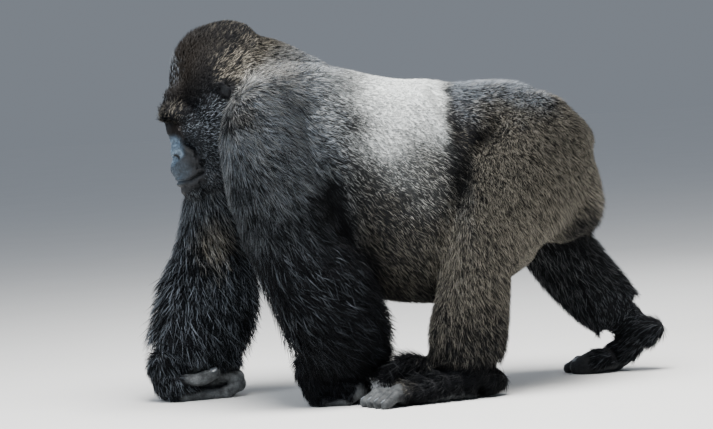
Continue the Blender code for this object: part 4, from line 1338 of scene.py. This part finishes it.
def coat_colour_group():
    tree, given, out = group_of(
        "coat colours",
        [(name, "NodeSocketFloat") for name in ("Silver", "Grizzle", "Painted sheen", "Rust", "Along", "Tone")],
        [("Color", "NodeSocketColor")],
    )
    silver, grizzle, slate, rust, along, tone = given.outputs[:6]
    towards_tip = scaled(tree, maths(tree, "POWER", along, 1.3), 0.85, 0.15)
    all_along = scaled(tree, towards_tip, 0.45, 0.55)
    colour = blend_colours(tree, rust, BLACK_HAIR, RUST_HAIR)
    # The coverage is the share of tufts that are coloured, and rest what the others take of it.
    for amount, coverage, rest, falloff, tip_colour, where_on_hair in (
        (slate, 0.64, 0.06, 0.5, PAINTED_SHEEN_TIP, towards_tip),
        (grizzle, 0.66, 0.05, 0.5, PALE_TIP, towards_tip),
        (silver, 1.10, 0.45, 1.0, SILVER_HAIR, all_along),
    ):
        depth = maths(tree, "POWER", amount, falloff)
        taken = times(tree, share_of_tufts(tree, amount, tone, coverage, rest), depth)
        taken = times(tree, taken, where_on_hair, clamp=True)
        colour = blend_colours(tree, taken, colour, tip_colour)
    # Every tuft is a little lighter or darker than the next.
    other_tone = maths(tree, "FRACT", times(tree, tone, 7.3))
    light = scaled(tree, other_tone, 1.1, 0.45)
    shade = tree.nodes.new("ShaderNodeVectorMath")
    shade.operation = "SCALE"
    tree.links.new(colour, shade.inputs[0])
    tree.links.new(light, shade.inputs["Scale"])
    tree.links.new(shade.outputs[0], out.inputs["Color"])
    return tree


coat_colours = coat_colour_group()


def coat_colour(tree, rust, along, tone):
    """The colour of hair, from the masks on the mesh and a tone."""
    node = tree.nodes.new("ShaderNodeGroup")
    node.node_tree = coat_colours
    for number, value in enumerate((*mask(tree, "markings_and_painted_light")[:3], rust, along, tone)):
        feed(tree, node.inputs[number], value)
    return node.outputs[0]


def new_material(name, roughness):
    made = bpy.data.materials.new(name)
    made.use_nodes = True
    shader = made.node_tree.nodes["Principled BSDF"]
    shader.inputs["Roughness"].default_value = roughness
    return made, made.node_tree, shader


# %% The coat's finish
hair_finish, tree, shader = new_material("gorilla hair", 0.50)
along_hair, hair_tone, hair_rust = mask(tree, "hair")[:3]
hair_colour = coat_colour(tree, hair_rust, along_hair, hair_tone)
tree.links.new(hair_colour, shader.inputs["Base Color"])
tree.links.new(scaled(tree, hair_tone, 0.30, 0.34), shader.inputs["Roughness"])
shader.inputs["Specular IOR Level"].default_value = 0.07

# %% [markdown]
# The skin shows two things. Under the coat it only has to look like more hair, so it takes the same
# colours with a fine noise for the tone. Where it is bare it is black hide with a cold shine, full
# of small creases. It is brown round the eyes, and worn and dusty on the fingers, the toes and the
# soles, except where painted shade keeps the far foot and the near fist darker. The blue-grey on the
# nose and the upper lip is a painted sheen, the sky's reflection painted into the hide.

# %% The skin's finish
HIDE = (0.0045, 0.0048, 0.0055)
HIDE_PALE = (0.014, 0.0155, 0.018)
HIDE_BROWN = (0.0032, 0.0020, 0.0014)
HIDE_WORN = (0.075, 0.080, 0.082)
# Painted sheen: the sky's blue reflection on the nose.
NOSE_SKY_SHEEN = (0.190, 0.265, 0.350)
skin_finish, tree, shader = new_material("gorilla skin", 0.45)
is_bare, is_rust, on_nose_sheen = mask(tree, "bare")[:3]
fine = noise(tree, 0.0035, 2.0, (1.0, 1.6, 1.0))
skin_under_coat = coat_colour(tree, is_rust, 0.0, fine)


def cracks_of(tree, size):
    """How far each place is from the crooked cracks between scales of this size."""
    cells = tree.nodes.new("ShaderNodeTexVoronoi")
    cells.feature = "DISTANCE_TO_EDGE"
    cells.inputs["Scale"].default_value = 1 / size
    where = tree.nodes.new("ShaderNodeTexCoord").outputs["Object"]
    crooked = tree.nodes.new("ShaderNodeTexNoise")
    crooked.inputs["Scale"].default_value = 0.5 / size
    tree.links.new(where, crooked.inputs["Vector"])
    shift = tree.nodes.new("ShaderNodeVectorMath")
    shift.operation = "MULTIPLY_ADD"
    tree.links.new(crooked.outputs["Color"], shift.inputs[0])
    shift.inputs[1].default_value = (1.6 * size,) * 3
    tree.links.new(where, shift.inputs[2])
    tree.links.new(shift.outputs[0], cells.inputs["Vector"])
    return cells.outputs["Distance"]


small_cracks, large_cracks = cracks_of(tree, 0.0045), cracks_of(tree, 0.0065)
blotches = scaled(tree, noise(tree, 0.030, 4.0), 1.6, -0.4, clamp=True)
hide = blend_colours(tree, blotches, HIDE, HIDE_PALE)
hide = blend_colours(tree, is_rust, hide, HIDE_BROWN)
patchy = scaled(tree, noise(tree, 0.010, 5.0), 1.3, -0.05)
furrows = scaled(tree, noise(tree, 0.005, 3.0, (1.0, 1.8, 0.4)), 2.4, -0.45, clamp=True)
nose_sheen_share = times(tree, times(tree, on_nose_sheen, patchy, clamp=True), furrows)
hide = blend_colours(tree, nose_sheen_share, hide, NOSE_SKY_SHEEN)
scuffs = scaled(tree, noise(tree, 0.016, 4.0), 2.6, -0.60, clamp=True)
crease = scaled(tree, times(tree, large_cracks, 6.0, clamp=True), 0.35, 0.65)
worn_share = times(tree, mask(tree, "wear_out_of_shade")[0], times(tree, crease, scuffs), clamp=True)
hide = blend_colours(tree, worn_share, hide, HIDE_WORN)
skin_colour = blend_colours(tree, is_bare, skin_under_coat, hide)
tree.links.new(skin_colour, shader.inputs["Base Color"])
height = times(tree, fine, 0.6)
for layer, share in ((small_cracks, 1.2), (large_cracks, 2.0), (noise(tree, 0.008, 4.0), 1.6)):
    height = maths(tree, "ADD", height, times(tree, layer, share))
bump = tree.nodes.new("ShaderNodeBump")
bump.inputs["Strength"].default_value = 0.6
bump.inputs["Distance"].default_value = 0.0012
tree.links.new(times(tree, height, is_bare), bump.inputs["Height"])
tree.links.new(bump.outputs[0], shader.inputs["Normal"])
black_hide = maths(tree, "SUBTRACT", is_bare, is_rust, clamp=True)
tree.links.new(scaled(tree, black_hide, -0.22, 0.72), shader.inputs["Roughness"])
shader.inputs["Specular IOR Level"].default_value = 0.14
skin.data.materials.append(skin_finish)
skin.data.polygons.foreach_set("use_smooth", np.ones(len(skin.data.polygons), bool))

for piece in coat:
    piece.data.materials.append(hair_finish)

# %% [markdown]
# ## Eyes
# Dark brown eyes sit deep under the brow, with hardly any white to be seen. An eyeball here is a
# ball with a raised cornea, and its finish draws the pupil, the iris with its fine rays and the
# brown sclera as rings round the line of sight.

# %% Two eyes
PUPIL, IRIS = 0.0026, 0.0066
CORNEA_HEIGHT, CORNEA_WIDTH = 0.0011, 0.0060
IRIS_DARK, IRIS_LIGHT = (0.004, 0.0018, 0.0009), (0.012, 0.005, 0.002)
SCLERA, PUPIL_BLACK = (0.006, 0.004, 0.003), (0.002, 0.002, 0.002)


def turned_to(direction, axis="Z", up="Y"):
    """A rotation that points one axis of a thing in a direction."""
    return direction.to_track_quat(axis, up).to_matrix().to_4x4()


def make_eye(side_name, side):
    shape = bmesh.new()
    bmesh.ops.create_uvsphere(shape, u_segments=48, v_segments=32, radius=EYE_RADIUS)
    for vertex in shape.verts:
        aside = math.hypot(vertex.co.x, vertex.co.y)
        if vertex.co.z > 0:
            vertex.co.z += CORNEA_HEIGHT * math.exp(-((aside / CORNEA_WIDTH) ** 2))
    for face in shape.faces:
        face.smooth = True
    made = object_from(shape, f"eyeball_{side_name}")
    gaze = head_turn(0.93, side * 0.36, -0.05).normalized()
    made.matrix_world = Matrix.Translation(middle_of(f"eye_{side_name}")) @ turned_to(gaze)
    made.data.materials.append(eye_finish)
    return made


eye_finish, tree, shader = new_material("wet brown eye", 0.12)
split = tree.nodes.new("ShaderNodeSeparateXYZ")
tree.links.new(tree.nodes.new("ShaderNodeTexCoord").outputs["Object"], split.inputs[0])
right, over, ahead = split.outputs[:3]
square = [maths(tree, "POWER", way, 2.0) for way in (right, over)]
aside = maths(tree, "SQRT", maths(tree, "ADD", *square))
rays = noise(tree, 0.0012, 2.0, (1.0, 1.0, 0.1))
in_front = maths(tree, "GREATER_THAN", ahead, 0.0)
uneven_aside = maths(tree, "ADD", aside, times(tree, rays, 0.0006))
in_iris = times(tree, in_front, maths(tree, "LESS_THAN", uneven_aside, IRIS))
in_pupil = times(tree, in_front, maths(tree, "LESS_THAN", aside, PUPIL))
iris = blend_colours(tree, rays, IRIS_DARK, IRIS_LIGHT)
eye_colour = blend_colours(tree, in_iris, SCLERA, iris)
eye_colour = blend_colours(tree, in_pupil, eye_colour, PUPIL_BLACK)
tree.links.new(eye_colour, shader.inputs["Base Color"])
shader.inputs["Specular IOR Level"].default_value = 0.15
shader.inputs["Coat Weight"].default_value = 0.30
shader.inputs["Coat Roughness"].default_value = 0.03
eyes = {name: make_eye(name, side) for name, side in SIDES}

# %% [markdown]
# ## Nails
# A gorilla has flat nails like ours, of grey horn, which is painted paler and bluer here for the
# highlight it catches. Each is a thin shield laid on the last joint of a finger or toe: the skin is
# searched for from outside, so that the nail sits on it and not inside it. A finger that is folded
# into the palm gets none. They are hard, shiny pieces of their own.

# %% Nails of the hands and feet
# Painted highlight: both horn colours are paler and bluer than the horn, for the shine the nails catch.
LIT_HORN_DARK, LIT_HORN_LIGHT = (0.060, 0.067, 0.076), (0.130, 0.145, 0.160)
UP = Vector((0, 0, 1))
nail_finish, tree, shader = new_material("gorilla nail", 0.28)
horn_with_highlight = blend_colours(tree, noise(tree, 0.004, 2.0), LIT_HORN_DARK, LIT_HORN_LIGHT)
tree.links.new(horn_with_highlight, shader.inputs["Base Color"])
finished_skin = BVHTree.FromObject(skin, bpy.context.evaluated_depsgraph_get())


def nail(clay, joint, tip, outward, half_length, half_width):
    """One nail on top of the skin at the end of a finger that runs from joint to tip."""
    along = (tip - joint).normalized()
    outward = (outward - along * outward.dot(along)).normalized()
    centre = tip - along * half_length * 0.2
    found, normal, _, _ = finished_skin.ray_cast(centre + outward * 0.06, -outward)
    if found is None or normal.dot(outward) < 0.2 or (found - centre).length > 0.030:
        return  # a finger that is folded into the palm shows no nail
    normal = (normal + outward).normalized()
    along = (along - normal * along.dot(normal)).normalized()
    turn = Matrix((along, normal.cross(along), normal)).transposed()
    ball(clay, found - normal * 0.0007, (half_length, half_width, 0.0021), turn, rings=10)


def nails_of(name, fingers):
    clay = bmesh.new()
    for finger in fingers:
        nail(clay, *finger)
    made = object_from(clay, name)
    made.data.polygons.foreach_set("use_smooth", np.ones(len(made.data.polygons), bool))
    made.data.materials.append(nail_finish)
    print(name, "has", len(made.data.polygons), "faces")
    return made


def leaning(x, y):
    """Upwards, leaning along the floor."""
    return UP + Vector((x, y, 0))


nails = []
for name, side in SIDES:
    fist, foot = FISTS[name], FEET[name]
    fingers = [(*finger_points(fist, number)[-2:], UP, 0.0085, 0.0075) for number in range(4)]
    fingers.append((*thumb_points(fist)[-2:], leaning(0, -0.8 * side), 0.0105, 0.0090))
    nails.append(nails_of(f"nails_hand_{name}", fingers))
    ahead = leaning(-0.5, 0)
    toes = [(*toe_points(foot, number)[-2:], ahead, 0.0080, 0.0075) for number in range(4)]
    toes.append((*big_toe_points(foot)[-2:], leaning(0, -0.6 * side), 0.0110, 0.0110))
    nails.append(nails_of(f"nails_foot_{name}", toes))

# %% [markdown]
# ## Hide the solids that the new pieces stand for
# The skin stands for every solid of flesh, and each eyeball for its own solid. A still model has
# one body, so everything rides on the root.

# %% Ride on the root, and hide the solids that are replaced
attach(skin, "root")
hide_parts(*TRUNK_AND_LIMBS, *HEAD_HANDS_FEET)
for piece in coat:
    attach(piece, "root")
for name, eye in eyes.items():
    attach(eye, "root")
    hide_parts(f"eye_{name}")
for piece in nails:
    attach(piece, "root")

# %% [markdown]
# ## Studio
# A pale floor and soft light from above: a large box of light overhead, a cooler one ahead of the
# animal on the near side that gives the black hair its blue sheen, and a weak one behind. The
# camera looks at the flank from a little above and is rolled by a few degrees. It stands far off,
# so that near and far limbs keep nearly their true sizes.

# %% Floor and light
FLOOR_TONE = (0.53, 0.53, 0.52)
SKY, SKY_STRENGTH = (0.76, 0.85, 1.0), 0.50
floor_shape = bmesh.new()
bmesh.ops.create_grid(floor_shape, x_segments=1, y_segments=1, size=30.0)
floor = object_from(floor_shape, "studio_floor")
floor_finish, tree, shader = new_material("studio floor", 0.90)
shader.inputs["Specular IOR Level"].default_value = 0.0
darker, lighter = (tuple(share * c for c in FLOOR_TONE) for share in (0.97, 1.03))
floor_colour = blend_colours(tree, noise(tree, 0.4, 3.0), darker, lighter)
tree.links.new(floor_colour, shader.inputs["Base Color"])
floor.data.materials.append(floor_finish)

world = bpy.data.worlds.new("studio")
world.use_nodes = True
# The eye sees the sky in the tone of the far floor, so that no horizon is drawn across the scene.
tree = world.node_tree
seen = tree.nodes.new("ShaderNodeLightPath").outputs["Is Camera Ray"]
far_floor = tuple(sky * tone for sky, tone in zip(SKY, FLOOR_TONE))
tree.links.new(blend_colours(tree, seen, SKY, far_floor), tree.nodes["Background"].inputs["Color"])
tree.nodes["Background"].inputs["Strength"].default_value = SKY_STRENGTH
bpy.context.scene.world = world


def box_light(name, place, target, size, power, colour):
    lamp = bpy.data.lights.new(name, "AREA")
    lamp.size, lamp.energy, lamp.color = size, power, colour
    made = bpy.data.objects.new(name, lamp)
    place, target = Vector(place), Vector(target)
    made.matrix_world = Matrix.Translation(place) @ turned_to(target - place, "-Z")
    bpy.context.scene.collection.objects.link(made)


box_light("overhead", (0.2, -1.2, 4.0), (0.0, 0.0, 0.5), 2.6, 800, (1.0, 0.98, 0.95))
box_light("cool side", (-3.2, -2.7, 1.9), (-0.2, 0.0, 0.5), 2.0, 150, (0.85, 0.92, 1.0))
box_light("behind", (2.0, 3.0, 2.5), (0.0, 0.0, 0.5), 2.0, 60, (1.0, 1.0, 1.0))

# %% Camera
CAMERA_AIM = from_ears(0.329, -0.001, -0.363)
CAMERA_DISTANCE, VIEW_WIDTH, SENSOR = 8.5, 1.961, 36.0
CAMERA_RISE, CAMERA_ROLL = math.radians(3.0), math.radians(3.55)
lens = bpy.data.cameras.new("flank view")
lens.sensor_width = SENSOR
lens.lens = SENSOR * CAMERA_DISTANCE / VIEW_WIDTH
camera = bpy.data.objects.new("flank view", lens)
stand_at = CAMERA_AIM + Vector((0, -math.cos(CAMERA_RISE), math.sin(CAMERA_RISE))) * CAMERA_DISTANCE
look = turned_to(CAMERA_AIM - stand_at, "-Z")
camera.matrix_world = Matrix.Translation(stand_at) @ look @ Matrix.Rotation(-CAMERA_ROLL, 4, "Z")
bpy.context.scene.collection.objects.link(camera)
bpy.context.scene.camera = camera

# %% The end
bpy.context.view_layer.update()
